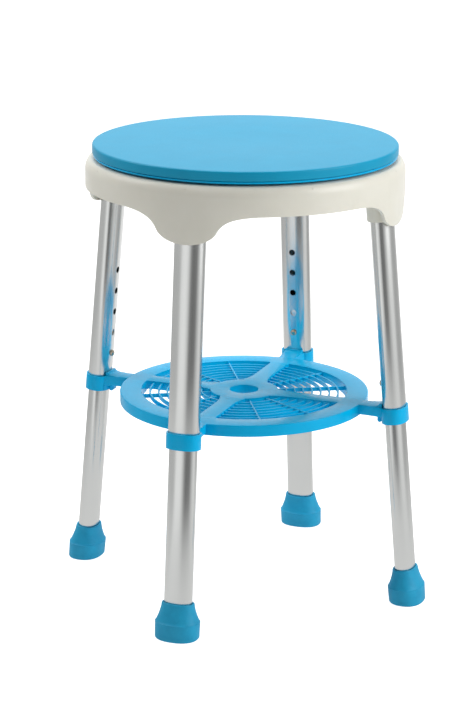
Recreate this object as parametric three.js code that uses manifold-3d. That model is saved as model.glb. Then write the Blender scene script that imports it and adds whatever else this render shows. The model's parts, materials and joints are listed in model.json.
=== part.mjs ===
// Height-adjustable swivel shower stool: a round foam seat that turns on a moulded frame, four splayed
// telescopic legs of oval tube with snap buttons, and a slotted storage tray clamped to the legs.
// Millimetres. Origin on the floor under the seat's centre, +Z up, -Y towards the front.

import * as THREE from "three";
import { mergeVertices, toCreasedNormals } from "three/addons/utils/BufferGeometryUtils.js";
import Module from "manifold-3d";

const wasm = await Module();
wasm.setup();

// ---- Overall sizes ----
const SEAT_HEIGHT = 520; // floor to cushion top, legs at their longest setting
const CUSHION_RADIUS = 172;
const FRAME_RADIUS = 180;
const FOOT_CIRCLE_RADIUS = 202.4; // stool axis to a leg's axis on the floor
const TRAY_RADIUS = 143;
const TRAY_TOP = 230; // floor to the tray's top face
const LEG_COUNT = 4;
const FIRST_LEG_DEG = 45;

// ---- Clearances ----
const TOUCH_GAP = 0.3; // between pieces that rest on or in each other
const SEAM_GAP = 0.3; // between the two halves of a clamp collar
const BUTTON_GAP = 0.25; // button to its holes, on the radius
const SCREW_GAP = 0.3; // screw to its holes, on the radius

// ---- Seat cushion and board ----
const CUSHION_THICKNESS = 12;
const CUSHION_TOP_ROUND = 2.5;
const CUSHION_BASE_ROUND = 1.5;
const BOARD_INSET = 1; // board edge behind the cushion's edge
const BOARD_THICKNESS = 3;
const BOARD_EDGE_ROUND = 1.2;
const BOARD_BOSS_RADIUS = 20;
const BOARD_BOSS_DEPTH = 9.4;
const SWIVEL_GAP = 1.7; // board to frame

// ---- Swivel pivot and glide ring ----
const BOLT_RADIUS = 5;
const BOLT_HEAD_RADIUS = 11;
const BOLT_HEAD_HEIGHT = 3;
const BOLT_HEAD_RIM = 1;
const BOLT_HEAD_DOME = 4.4;
const BOLT_NECK_SIDE = 10;
const BOLT_NECK_DEPTH = 5;
const BOLT_TAIL = 2; // thread below the nut
const BUSH_RADIUS = 9;
const BUSH_FLANGE_RADIUS = 19;
const BUSH_FLANGE_THICKNESS = 1.7;
const BUSH_PROUD = 1; // bush end below the hub
const WASHER_RADIUS = 17;
const WASHER_THICKNESS = 2;
const NUT_ACROSS_FLATS = 17;
const NUT_HEIGHT = 9;
const GLIDE_RADIUS = 115;
const GLIDE_WIDTH = 10;
const GLIDE_GROOVE_DEPTH = 2;

// ---- Seat frame ----
const DECK_THICKNESS = 4;
const SKIRT_WALL = 3.5;
const SKIRT_DEPTH = 31.5;
const SHOULDER_WIDTH = 8;
const SHOULDER_HEIGHT = 13;
const LOBE_DEPTH = 64; // frame top to the bottom of a lobe over a leg
const LOBE_HALF_WIDTH = 34.5;
const LOBE_FLARE = 50; // each side, from lobe flank out to the level skirt
const LOBE_FLANK_DROP = 2; // flank below the middle of the lobe's height
const LOBE_TOE_RISE = 7;
const LOBE_SWEEP_RISE = 14;
const LOBE_TOE_REACH = 0.55; // pulls of the curves, as shares of the half-width and of the flare
const LOBE_TOE_TURN = 0.9;
const LOBE_SWEEP_TURN = 1.2;
const LOBE_SWEEP_REACH = 0.5;
const LOBE_LENGTH = 108; // inwards from the frame's edge
const HUB_WALL = 3.5;
const HUB_DEPTH = 27;
const RIB_THICKNESS = 3;
const RIB_DEPTH = 12;
const SOCKET_WALL = 3;
const SOCKET_SETBACK = 1.6; // socket's outer face behind the skirt's outer face
const SOCKET_LIFT = 5; // socket mouth above the bottom of its lobe
const TUBE_COVER = 9.5; // top of a leg tube below the frame's top

// ---- Leg tubes ----
const TUBE_WIDTH = 35; // outer tube, along the rim
const TUBE_DEPTH = 25; // outer tube, towards the stool's axis
const TUBE_WALL = 1.2;
const TUBE_SLIDE_GAP = 0.3;
const OVAL_POWER = 2.3;
const HOLE_PITCH = 25.4;
const HOLE_COUNT = 5;
const LOWEST_HOLE = 26.6; // above the tray's top
const LOWER_TUBE_OVERLAP = 38; // lower tube above its button

// ---- Snap button, its spring, and the screw in each socket ----
const BUTTON_RADIUS = 3.5;
const BUTTON_PROUD = 3.1;
const BUTTON_DOME = 1.6;
const BUTTON_FLANGE_RADIUS = 4.8;
const BUTTON_FLANGE_THICKNESS = 1;
const BUTTON_STANDOFF = 0.6; // flange off the curved tube wall
const SPRING_THICKNESS = 0.8;
const SPRING_WIDTH = 8;
const SPRING_LENGTH = 33;
const SPRING_STANDOFF = 0.5; // back arm off the curved tube wall
const SPRING_REACH = 3; // arms past the button's flange
const SPRING_BEND_HALF = 2.5;
const SPRING_BEND_START = 0.85; // share of the length at which the bend starts
const SPRING_TIP_BOW = 0.6;
const SPRING_STEPS = 20;
const SCREW_RADIUS = 2.1;
const SCREW_HEAD_RADIUS = 4.2;
const SCREW_HEAD_HEIGHT = 2.4;
const SCREW_REACH = 4; // beyond the tube's inner wall
const SCREW_DROP = 27; // below the frame's top

// ---- Foot ----
const FOOT_HEIGHT = 40;
const FOOT_RIM_WALL = 2.7;
const FOOT_SPREAD = 9.9; // half-size at the floor beyond the lower tube's
const FOOT_RIDGE = 0.47; // where the flare ends, as a share of the height
const FOOT_FLOOR = 5;
const FOOT_LEVELS = [0, 0.03, 0.45, 0.51, 0.64, 0.8, 0.96, 1]; // shares of the height
const FOOT_TAPER = 0.4; // half-size lost up to the ridge
const FOOT_LEDGE = 0.2;
const FOOT_HOLLOW = 1.6; // power of the curve from ridge to rim
const FOOT_EDGE_ROUND = 1;
const INSERT_THICKNESS = 2;

// ---- Tray and clamp collars ----
const TRAY_DEPTH = 13;
const TRAY_PLATE = 2.5;
const TRAY_RIM_WIDTH = 24.5;
const TRAY_EDGE_ROUND = 1;
const TRAY_HUB_RADIUS = 39;
const TRAY_HOLE_RADIUS = 16.5;
const SPOKE_HALF_WIDTH = 10.3;
const SPOKE_FLARE = 5;
const SLAT_COUNT = 7; // concentric ribs between hub and rim
const SLAT_THICKNESS = 1.8;
const SLAT_DEPTH = 4.7;
const SPOKE_DEPTH = 10;
const SLAT_SETBACK = 1.5; // slat tops below the tray's top
const STRUT_SPACING_DEG = 30;
const SPOKE_BLEND = 24; // along a spoke, over which its foot narrows from the hub
const SPOKE_END_BLEND = 9; // along a spoke, over which its end widens to the rim
const ARM_DEPTH = 11.5;
const ARM_HALF_WIDTH = 10;
const ARM_END_HALF_WIDTH = 13;
const ARM_END_BLEND = 6;
const ARM_BLOCK = 12; // solid end of an arm, from the tube's flat side
const RIDGE_INSET = 15; // crest of the ridge behind the tube, inwards from the leg's axis
const RIDGE_HALF_WIDTH = 11;
const RIDGE_RISE = 4; // above the tray's top
const RIDGE_RAMP = 14; // from the crest down to the arm's top
const CATCH_INSET = 16; // lug under an arm, inwards from the leg's axis
const CATCH_RADIUS = 2.5;
const CATCH_HALF_WIDTH = 5;
const CATCH_DROP = 8; // below the arm
const COLLAR_WALL = 1.8;
const COLLAR_RISE = 0.5; // collar top above the tray's top
const COLLAR_HEIGHT = 17.5;
const COLLAR_LIP = 2;
const SEAM_INSET = 11.4; // the collar's ends, inwards from the leg's axis

// ---- Making ----
const ROOT = 1; // how far a shape reaches into what it joins, or past what it cuts
const OVERRUN = 20; // a long cut past its piece

// ---- Facets ----
const DISC_SIDES = 48;
const SLAT_SIDES = 24;
const OVAL_SIDES = 24;
const PIVOT_SIDES = 16;
const SMALL_SIDES = 12;
const ARC_STEPS = 3;
const CURVE_STEPS = 4;

// ---- Levels worked out from the sizes ----
const cushionBottom = SEAT_HEIGHT - CUSHION_THICKNESS;
const boardTop = cushionBottom - TOUCH_GAP;
const boardBottom = boardTop - BOARD_THICKNESS;
const frameTop = boardBottom - SWIVEL_GAP;
const deckBottom = frameTop - DECK_THICKNESS;
const skirtBottom = frameTop - SKIRT_DEPTH;
const lobeBottom = frameTop - LOBE_DEPTH;
const socketMouth = lobeBottom + SOCKET_LIFT;
const bossBottom = boardBottom - BOARD_BOSS_DEPTH;
const bushTop = bossBottom - TOUCH_GAP;
const bushShoulder = bushTop - BUSH_FLANGE_THICKNESS;
const hubRecess = bushShoulder - TOUCH_GAP;
const hubBottom = frameTop - HUB_DEPTH;
const bushBottom = hubBottom - BUSH_PROUD;
const washerTop = bushBottom - TOUCH_GAP;
const nutTop = washerTop - WASHER_THICKNESS - TOUCH_GAP;
const nutBottom = nutTop - NUT_HEIGHT;
const trayBottom = TRAY_TOP - TRAY_DEPTH;
const collarTop = TRAY_TOP + COLLAR_RISE;
const collarBottom = collarTop - COLLAR_HEIGHT;

// ---- Tube sections: half-sizes towards the stool's axis (x) and along the rim (y) ----
const upperTube = { x: TUBE_DEPTH / 2, y: TUBE_WIDTH / 2 };
const lowerTube = grown(upperTube, -TUBE_WALL - TUBE_SLIDE_GAP);

// ---- Lean of the legs ----
const socketAxisRadius = FRAME_RADIUS - SOCKET_SETBACK - SOCKET_WALL - TOUCH_GAP - upperTube.x;
const lean = Math.atan((FOOT_CIRCLE_RADIUS - socketAxisRadius) / socketMouth);

// Distance along a leg's axis for a height above the floor.
function along(height) {
  return height / Math.cos(lean);
}

// Distance of a leg's axis from the stool's axis at a height above the floor.
function axisRadius(height) {
  return FOOT_CIRCLE_RADIUS - height * Math.tan(lean);
}

// ---- Stations along a leg ----
const upperTubeFrom = along(collarBottom) + COLLAR_LIP + TOUCH_GAP;
const upperTubeTo = along(frameTop - TUBE_COVER);
const buttonAt = along(TRAY_TOP + LOWEST_HOLE);
const screwAt = along(frameTop - SCREW_DROP);
const insertFrom = FOOT_FLOOR + TOUCH_GAP;
const lowerTubeFrom = insertFrom + INSERT_THICKNESS + TOUCH_GAP;
const lowerTubeTo = buttonAt + LOWER_TUBE_OVERLAP;

// ---- Materials ----
const foam = new THREE.MeshStandardMaterial({ color: "#37a9d6", roughness: 0.55 });
const bluePlastic = new THREE.MeshStandardMaterial({ color: "#089fd4", roughness: 0.35 });
const ivoryPlastic = new THREE.MeshStandardMaterial({ color: "#e2e1d8", roughness: 0.4 });
const aluminium = new THREE.MeshStandardMaterial({ color: "#c4c6c6", roughness: 0.35, metalness: 1 });
const blueRubber = new THREE.MeshStandardMaterial({ color: "#2f93ba", roughness: 0.7 });
const steel = new THREE.MeshStandardMaterial({ color: "#b9b7b0", roughness: 0.25, metalness: 1 });
const springSteel = new THREE.MeshStandardMaterial({ color: "#8d8d8a", roughness: 0.3, metalness: 1 });
const acetal = new THREE.MeshStandardMaterial({ color: "#f1f0ec", roughness: 0.3 });

// ---- Solids and meshes ----
function solid(geometry) {
  const bare = geometry.clone();
  bare.deleteAttribute("normal");
  bare.deleteAttribute("uv");
  const merged = mergeVertices(bare, 1e-4);
  const corners = merged.index.array;
  const kept = [];
  for (let i = 0; i < corners.length; i += 3) {
    const [a, b, c] = corners.slice(i, i + 3);
    if (a !== b && b !== c && c !== a) kept.push(a, b, c);
  }
  return new wasm.Manifold(
    new wasm.Mesh({
      numProp: 3,
      vertProperties: new Float32Array(merged.attributes.position.array),
      triVerts: new Uint32Array(kept),
    }),
  );
}

function geometryOf(body) {
  const mesh = body.getMesh();
  const geometry = new THREE.BufferGeometry();
  geometry.setAttribute("position", new THREE.BufferAttribute(mesh.vertProperties, 3));
  geometry.setIndex(new THREE.BufferAttribute(mesh.triVerts, 1));
  return toCreasedNormals(geometry, 0.5);
}

function piece(name, body, material) {
  const mesh = new THREE.Mesh(geometryOf(body), material);
  mesh.name = name;
  return mesh;
}

function united(bodies) {
  return bodies.reduce((whole, body) => whole.add(body));
}

// ---- Basic shapes ----
function grown(section, by) {
  return { x: section.x + by, y: section.y + by };
}

function ovalPoints(section) {
  const soften = (v) => Math.sign(v) * Math.abs(v) ** (2 / OVAL_POWER);
  return Array.from({ length: OVAL_SIDES }, (_, i) => {
    const angle = (2 * Math.PI * i) / OVAL_SIDES;
    return new THREE.Vector2(section.x * soften(Math.cos(angle)), section.y * soften(Math.sin(angle)));
  });
}

// A flat outline raised from one level to another.
function raised(shape, from, to) {
  const options = { depth: to - from, bevelEnabled: false, curveSegments: CURVE_STEPS };
  return new THREE.ExtrudeGeometry(shape, options).translate(0, 0, from);
}

function ovalBar(section, from, to) {
  return raised(new THREE.Shape(ovalPoints(section)), from, to);
}

function disc(radius, from, to, sides = DISC_SIDES) {
  const geometry = new THREE.CylinderGeometry(radius, radius, to - from, sides);
  return geometry.rotateX(Math.PI / 2).translate(0, 0, (from + to) / 2);
}

function block(xFrom, xTo, yFrom, yTo, zFrom, zTo) {
  const geometry = new THREE.BoxGeometry(xTo - xFrom, yTo - yFrom, zTo - zFrom);
  return geometry.translate((xFrom + xTo) / 2, (yFrom + yTo) / 2, (zFrom + zTo) / 2);
}

// A profile of [radius, height] pairs, counter-clockwise, turned about the Z axis.
function turned(profile, sides = DISC_SIDES) {
  const points = profile.map(([radius, height]) => new THREE.Vector2(radius, height));
  return new THREE.LatheGeometry(points, sides).rotateX(Math.PI / 2);
}

// A ring of rectangular section.
function ring(inner, outer, from, to, sides = DISC_SIDES) {
  return turned([[inner, from], [outer, from], [outer, to], [inner, to], [inner, from]], sides);
}

// A quarter of an ellipse from angle 0 to 90 degrees as [radius, height] pairs.
function quarter(centreRadius, centreHeight, width, height) {
  return Array.from({ length: ARC_STEPS + 1 }, (_, i) => {
    const angle = (Math.PI / 2) * (i / ARC_STEPS);
    return [centreRadius + width * Math.cos(angle), centreHeight + height * Math.sin(angle)];
  });
}

// Turns a shape built about +Z so that it points towards the stool's axis.
function pointedInward(geometry, height) {
  return geometry.rotateY(-Math.PI / 2).translate(0, 0, height);
}

// ---- Places of the legs ----
function legAngle(index) {
  return THREE.MathUtils.degToRad(FIRST_LEG_DEG + (360 / LEG_COUNT) * index);
}

function legMatrix(index) {
  const turn = new THREE.Matrix4().makeRotationZ(legAngle(index));
  const shift = new THREE.Matrix4().makeTranslation(FOOT_CIRCLE_RADIUS, 0, 0);
  const tilt = new THREE.Matrix4().makeRotationY(-lean);
  return turn.multiply(shift).multiply(tilt);
}

// One copy of a shape at each leg: in the leaning frame of the leg, or only turned to face it.
function atLegs(make) {
  const indices = [...Array(LEG_COUNT).keys()];
  return united(indices.map((index) => solid(make().applyMatrix4(legMatrix(index)))));
}

function facingLegs(make) {
  const indices = [...Array(LEG_COUNT).keys()];
  return united(indices.map((index) => solid(make().rotateZ(legAngle(index)))));
}

// ---- Seat ----
function seatCushion() {
  const edge = CUSHION_RADIUS;
  const low = CUSHION_BASE_ROUND;
  const high = CUSHION_TOP_ROUND;
  const base = quarter(edge - low, -cushionBottom - low, low, low);
  const lower = base.map(([radius, height]) => [radius, -height]).reverse();
  const upper = quarter(edge - high, SEAT_HEIGHT - high, high, high);
  return solid(turned([[0, cushionBottom], ...lower, ...upper, [0, SEAT_HEIGHT]]));
}

function seatBoard() {
  const edge = CUSHION_RADIUS - BOARD_INSET;
  const plate = turned([
    [0, boardBottom],
    [edge - BOARD_EDGE_ROUND, boardBottom],
    [edge, boardBottom + BOARD_EDGE_ROUND],
    [edge, boardTop],
    [0, boardTop],
  ]);
  const half = BOLT_NECK_SIDE / 2 + TOUCH_GAP;
  const headRecess = boardTop - BOLT_HEAD_HEIGHT - 2 * TOUCH_GAP;
  const neck = block(-half, half, -half, half, headRecess - BOLT_NECK_DEPTH, boardTop + ROOT);
  return solid(plate)
    .add(solid(disc(BOARD_BOSS_RADIUS, bossBottom, boardBottom + ROOT)))
    .subtract(solid(disc(BOLT_HEAD_RADIUS + TOUCH_GAP, headRecess, boardTop + ROOT)))
    .subtract(solid(neck))
    .subtract(solid(disc(BOLT_RADIUS + TOUCH_GAP, bossBottom - ROOT, boardTop, SMALL_SIDES)));
}

// ---- Swivel pivot ----
function pivotBolt() {
  const headTop = boardTop - TOUCH_GAP;
  const headFace = headTop - BOLT_HEAD_HEIGHT;
  const head = turned([
    [0, headFace],
    [BOLT_HEAD_RADIUS, headFace],
    [BOLT_HEAD_RADIUS, headFace + BOLT_HEAD_RIM],
    [BOLT_HEAD_RADIUS - BOLT_HEAD_DOME, headTop],
    [0, headTop],
  ], PIVOT_SIDES);
  const half = BOLT_NECK_SIDE / 2;
  const neckEnd = headFace - BOLT_NECK_DEPTH + 2 * TOUCH_GAP;
  const neck = block(-half, half, -half, half, neckEnd, headFace + ROOT / 2);
  const shank = disc(BOLT_RADIUS, nutBottom - BOLT_TAIL, headFace + ROOT / 2, SMALL_SIDES);
  return united([solid(head), solid(neck), solid(shank)]);
}

function pivotBush() {
  const bore = BOLT_RADIUS + TOUCH_GAP;
  return solid(turned([
    [bore, bushBottom],
    [BUSH_RADIUS, bushBottom],
    [BUSH_RADIUS, bushShoulder],
    [BUSH_FLANGE_RADIUS, bushShoulder],
    [BUSH_FLANGE_RADIUS, bushTop],
    [bore, bushTop],
    [bore, bushBottom],
  ], PIVOT_SIDES));
}

function pivotWasher() {
  const bore = BOLT_RADIUS + TOUCH_GAP;
  return solid(ring(bore, WASHER_RADIUS, washerTop - WASHER_THICKNESS, washerTop, PIVOT_SIDES));
}

function pivotNut() {
  const cornerRadius = NUT_ACROSS_FLATS / Math.sqrt(3);
  const bore = disc(BOLT_RADIUS + TOUCH_GAP, nutBottom - ROOT, nutTop + ROOT, SMALL_SIDES);
  return solid(disc(cornerRadius, nutBottom, nutTop, 6)).subtract(solid(bore));
}

function glideRing() {
  const from = frameTop - GLIDE_GROOVE_DEPTH + TOUCH_GAP;
  const inner = GLIDE_RADIUS - GLIDE_WIDTH / 2;
  return solid(ring(inner, inner + GLIDE_WIDTH, from, boardBottom - TOUCH_GAP, SLAT_SIDES));
}

// ---- Seat frame ----
function frameEnvelope() {
  const from = FRAME_RADIUS - SHOULDER_WIDTH;
  const shoulder = quarter(from, frameTop - SHOULDER_HEIGHT, SHOULDER_WIDTH, SHOULDER_HEIGHT);
  return solid(turned([[0, lobeBottom], [FRAME_RADIUS, lobeBottom], ...shoulder, [0, frameTop]]));
}

function frameHollow() {
  const inner = FRAME_RADIUS - SKIRT_WALL;
  return solid(turned([
    [0, lobeBottom - ROOT],
    [inner, lobeBottom - ROOT],
    [inner, deckBottom - SHOULDER_HEIGHT],
    [inner - SHOULDER_WIDTH, deckBottom],
    [0, deckBottom],
  ]));
}

// A bell outline seen along a leg's radius: a rounded lobe that flares out to the level skirt.
function lobe() {
  const at = (x, y) => new THREE.Vector2(x, y);
  const half = LOBE_HALF_WIDTH;
  const flare = half + LOBE_FLARE;
  const flank = (skirtBottom + lobeBottom) / 2 - LOBE_FLANK_DROP;
  const toe = new THREE.CubicBezierCurve(
    at(0, lobeBottom),
    at(half * LOBE_TOE_REACH, lobeBottom),
    at(half * LOBE_TOE_TURN, lobeBottom + LOBE_TOE_RISE),
    at(half, flank),
  );
  const sweep = new THREE.CubicBezierCurve(
    at(half, flank),
    at(half * LOBE_SWEEP_TURN, flank + LOBE_SWEEP_RISE),
    at(half + LOBE_FLARE * LOBE_SWEEP_REACH, skirtBottom),
    at(flare, skirtBottom),
  );
  const curves = [...toe.getPoints(CURVE_STEPS), ...sweep.getPoints(CURVE_STEPS).slice(1)];
  const side = [...curves, at(flare, skirtBottom + SHOULDER_WIDTH)];
  const mirrored = side.slice(1).reverse().map((point) => at(-point.x, point.y));
  const upright = raised(new THREE.Shape([...side, ...mirrored]), 0, LOBE_LENGTH).rotateX(Math.PI / 2);
  return upright.rotateZ(Math.PI / 2).translate(FRAME_RADIUS + ROOT - LOBE_LENGTH, 0, 0);
}

function frameRibs(hubRadius) {
  const half = RIB_THICKNESS / 2;
  const bottom = deckBottom - RIB_DEPTH;
  const reach = FRAME_RADIUS - SKIRT_WALL / 2;
  const count = LEG_COUNT * 2;
  const ribs = Array.from({ length: count }, (_, i) => {
    const rib = block(hubRadius - ROOT, reach, -half, half, bottom, deckBottom + ROOT);
    return solid(rib.rotateZ(legAngle(i / 2)));
  });
  const hoop = ring(GLIDE_RADIUS - half, GLIDE_RADIUS + half, bottom, deckBottom + ROOT, SLAT_SIDES);
  return united([...ribs, solid(hoop)]);
}

function screwHole() {
  const reach = SCREW_REACH + TUBE_WALL;
  const from = upperTube.x - reach;
  const to = upperTube.x + SOCKET_WALL + 2 * ROOT;
  return pointedInward(disc(SCREW_RADIUS + SCREW_GAP, from, to, SMALL_SIDES), screwAt);
}

function seatFrame() {
  const envelope = frameEnvelope();
  const hubRadius = BOARD_BOSS_RADIUS + TOUCH_GAP + HUB_WALL;
  const level = solid(disc(FRAME_RADIUS + ROOT, skirtBottom, frameTop + ROOT));
  const bore = grown(upperTube, TOUCH_GAP);
  const shell = envelope.subtract(frameHollow()).intersect(level.add(facingLegs(lobe)));
  const high = along(frameTop) + OVERRUN;
  const sockets = atLegs(() => ovalBar(grown(bore, SOCKET_WALL), along(socketMouth), high));
  const hub = solid(disc(hubRadius, hubBottom, deckBottom + ROOT));
  const inner = GLIDE_RADIUS - GLIDE_WIDTH / 2 - TOUCH_GAP;
  const outer = GLIDE_RADIUS + GLIDE_WIDTH / 2 + TOUCH_GAP;
  return united([shell, sockets, hub, frameRibs(hubRadius)])
    .intersect(envelope)
    .subtract(atLegs(() => ovalBar(bore, along(lobeBottom) - OVERRUN, upperTubeTo + TOUCH_GAP)))
    .subtract(atLegs(screwHole))
    .subtract(solid(disc(BOARD_BOSS_RADIUS + TOUCH_GAP, hubRecess, frameTop + ROOT)))
    .subtract(solid(disc(BUSH_RADIUS + TOUCH_GAP, hubBottom - ROOT, hubRecess + ROOT, PIVOT_SIDES)))
    .subtract(solid(ring(inner, outer, frameTop - GLIDE_GROOVE_DEPTH, frameTop + ROOT, SLAT_SIDES)));
}

// ---- Legs, each in its own frame: X away from the stool's axis, Z up along the leg ----
function tube(section, from, to) {
  const bore = ovalBar(grown(section, -TUBE_WALL), from - ROOT, to + ROOT);
  return solid(ovalBar(section, from, to)).subtract(solid(bore));
}

function buttonHole(at) {
  const hole = disc(BUTTON_RADIUS + BUTTON_GAP, upperTube.x / 2, upperTube.x + ROOT, SMALL_SIDES);
  return solid(pointedInward(hole, at));
}

function upperLegTube() {
  const holes = Array.from({ length: HOLE_COUNT }, (_, i) => buttonHole(buttonAt + i * HOLE_PITCH));
  return tube(upperTube, upperTubeFrom, upperTubeTo).subtract(united(holes)).subtract(solid(screwHole()));
}

function lowerLegTube() {
  return tube(lowerTube, lowerTubeFrom, lowerTubeTo).subtract(buttonHole(buttonAt));
}

function snapButton() {
  const back = lowerTube.x - TUBE_WALL - BUTTON_STANDOFF - BUTTON_FLANGE_THICKNESS;
  const front = upperTube.x + BUTTON_PROUD;
  const dome = quarter(0, front - BUTTON_DOME, BUTTON_RADIUS, BUTTON_DOME);
  const profile = turned([
    [0, back],
    [BUTTON_FLANGE_RADIUS, back],
    [BUTTON_FLANGE_RADIUS, back + BUTTON_FLANGE_THICKNESS],
    [BUTTON_RADIUS, back + BUTTON_FLANGE_THICKNESS],
    ...dome.slice(0, -1),
    [0, front],
  ], SMALL_SIDES);
  return solid(pointedInward(profile, buttonAt));
}

// A strip bent into a V: one arm behind the button, the other against the far wall.
function snapSpring() {
  const half = SPRING_THICKNESS / 2;
  const wall = lowerTube.x - TUBE_WALL;
  const front = -(wall - BUTTON_STANDOFF - BUTTON_FLANGE_THICKNESS - TOUCH_GAP - half);
  const back = wall - SPRING_STANDOFF - half;
  const reach = BUTTON_FLANGE_RADIUS + SPRING_REACH;
  const bend = (front + back) / 2;
  const centreline = new THREE.SplineCurve([
    new THREE.Vector2(front, reach),
    new THREE.Vector2(front, -BUTTON_FLANGE_RADIUS),
    new THREE.Vector2(front, -reach),
    new THREE.Vector2(bend - SPRING_BEND_HALF, -SPRING_LENGTH * SPRING_BEND_START),
    new THREE.Vector2(bend, -SPRING_LENGTH),
    new THREE.Vector2(bend + SPRING_BEND_HALF, -SPRING_LENGTH * SPRING_BEND_START),
    new THREE.Vector2(back, 0),
    new THREE.Vector2(back - SPRING_TIP_BOW, reach),
  ]);
  const left = [];
  const right = [];
  for (let i = 0; i <= SPRING_STEPS; i += 1) {
    const point = centreline.getPoint(i / SPRING_STEPS);
    const ahead = centreline.getTangent(i / SPRING_STEPS);
    left.push(new THREE.Vector2(point.x - ahead.y * half, point.y + ahead.x * half));
    right.unshift(new THREE.Vector2(point.x + ahead.y * half, point.y - ahead.x * half));
  }
  const strip = raised(new THREE.Shape([...left, ...right]), -SPRING_WIDTH / 2, SPRING_WIDTH / 2);
  return solid(strip.rotateX(Math.PI / 2).translate(0, 0, buttonAt));
}

function legScrew() {
  const face = upperTube.x + TOUCH_GAP + SOCKET_WALL + TOUCH_GAP;
  const end = upperTube.x - TUBE_WALL - SCREW_REACH + ROOT;
  const profile = turned([
    [0, end],
    [SCREW_RADIUS, end],
    [SCREW_RADIUS, face],
    [SCREW_HEAD_RADIUS, face],
    [SCREW_HEAD_RADIUS, face + SCREW_HEAD_HEIGHT / 2],
    [SCREW_HEAD_RADIUS / 2, face + SCREW_HEAD_HEIGHT],
    [0, face + SCREW_HEAD_HEIGHT],
  ], SMALL_SIDES);
  return solid(pointedInward(profile, screwAt));
}

// ---- Foot: level on the floor, square to the leg at its rim ----
function footSection(share) {
  const rim = grown(lowerTube, TOUCH_GAP + FOOT_RIM_WALL);
  const wide = grown(lowerTube, FOOT_SPREAD);
  if (share < FOOT_RIDGE) return grown(wide, -FOOT_TAPER * (share / FOOT_RIDGE));
  const rise = (share - FOOT_RIDGE) / (1 - FOOT_RIDGE);
  const closing = (rim.x - wide.x) * (1 - (1 - rise) ** FOOT_HOLLOW);
  return grown(wide, closing - FOOT_LEDGE * (1 - rise));
}

function footBody() {
  const rings = FOOT_LEVELS.map((share) => {
    const ease = share === 0 || share === 1 ? -FOOT_EDGE_ROUND : 0;
    const tilt = new THREE.Matrix4().makeRotationY(lean * (1 - share));
    const lift = new THREE.Matrix4().makeTranslation(0, 0, FOOT_HEIGHT * share);
    return ovalPoints(grown(footSection(share), ease)).map((point) => {
      return new THREE.Vector3(point.x, point.y, 0).applyMatrix4(tilt).applyMatrix4(lift);
    });
  });
  return solid(lofted(rings));
}

// A closed skin over a stack of rings with equal point counts, lowest ring first.
function lofted(rings) {
  const sides = rings[0].length;
  const points = rings.flat();
  const index = [];
  for (let row = 0; row < rings.length - 1; row += 1) {
    for (let i = 0; i < sides; i += 1) {
      const a = row * sides + i;
      const b = row * sides + ((i + 1) % sides);
      index.push(a, b, b + sides, a, b + sides, a + sides);
    }
  }
  const top = (rings.length - 1) * sides;
  for (let i = 1; i < sides - 1; i += 1) {
    index.push(0, i + 1, i, top, top + i, top + i + 1);
  }
  const geometry = new THREE.BufferGeometry().setFromPoints(points);
  geometry.setIndex(index);
  return geometry;
}

function foot() {
  const bore = ovalBar(grown(lowerTube, TOUCH_GAP), FOOT_FLOOR, FOOT_HEIGHT + ROOT);
  return footBody().subtract(solid(bore));
}

function footInsert() {
  return solid(ovalBar(grown(lowerTube, -TOUCH_GAP), insertFrom, insertFrom + INSERT_THICKNESS));
}

// ---- Clamp collars ----
const collarSection = grown(upperTube, TOUCH_GAP + COLLAR_WALL);

function collarSleeve() {
  const whole = solid(ovalBar(collarSection, along(collarBottom), along(collarTop)));
  return whole.subtract(tubeRoom());
}

// The room a collar leaves: the upper tube's section above its lip, the lower tube's through it.
function tubeRoom() {
  const lip = along(collarBottom) + COLLAR_LIP;
  const upper = ovalBar(grown(upperTube, TOUCH_GAP), lip, along(collarTop) + OVERRUN);
  const lower = ovalBar(grown(lowerTube, TOUCH_GAP), along(collarBottom) - OVERRUN, along(collarTop));
  return solid(upper).add(solid(lower));
}

// The tray's side of the seam, or the leg's side of it, across the whole width of a collar.
function traySide(grow) {
  const far = collarSection.y * 2;
  const seam = grow - SEAM_INSET - SEAM_GAP / 2;
  return solid(block(-far, seam, -far, far, along(collarBottom) - OVERRUN, along(collarTop) + OVERRUN));
}

function legSide() {
  const far = collarSection.y * 2;
  const seam = -SEAM_INSET - SEAM_GAP / 2;
  return block(seam, far, -far, far, along(collarBottom) - OVERRUN, along(collarTop) + OVERRUN);
}

function clampCollar() {
  return collarSleeve().subtract(traySide(SEAM_GAP));
}

// ---- Tray ----
function trayRim() {
  const inner = TRAY_RADIUS - TRAY_RIM_WIDTH;
  const soft = TRAY_EDGE_ROUND;
  return solid(turned([
    [inner, trayBottom],
    [inner + TRAY_PLATE, trayBottom],
    [inner + TRAY_PLATE, TRAY_TOP - TRAY_PLATE],
    [TRAY_RADIUS - TRAY_PLATE, TRAY_TOP - TRAY_PLATE],
    [TRAY_RADIUS - TRAY_PLATE, trayBottom],
    [TRAY_RADIUS, trayBottom],
    [TRAY_RADIUS, TRAY_TOP - soft],
    [TRAY_RADIUS - soft, TRAY_TOP],
    [inner, TRAY_TOP],
    [inner, trayBottom],
  ]));
}

function spokePlan(inset) {
  const inner = TRAY_HUB_RADIUS - TRAY_PLATE;
  const outer = TRAY_RADIUS - TRAY_RIM_WIDTH + TRAY_PLATE / 2;
  const half = SPOKE_HALF_WIDTH - inset;
  const wide = half + SPOKE_FLARE;
  const pull = inner + SPOKE_BLEND / 2;
  const end = outer - SPOKE_END_BLEND;
  const outline = new THREE.Shape();
  outline.moveTo(inner, -wide);
  outline.quadraticCurveTo(pull, -half, inner + SPOKE_BLEND, -half);
  outline.lineTo(end, -half);
  outline.quadraticCurveTo(outer - ROOT, -half, outer, -wide);
  outline.lineTo(outer, wide);
  outline.quadraticCurveTo(outer - ROOT, half, end, half);
  outline.lineTo(inner + SPOKE_BLEND, half);
  outline.quadraticCurveTo(pull, half, inner, wide);
  outline.closePath();
  return outline;
}

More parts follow.
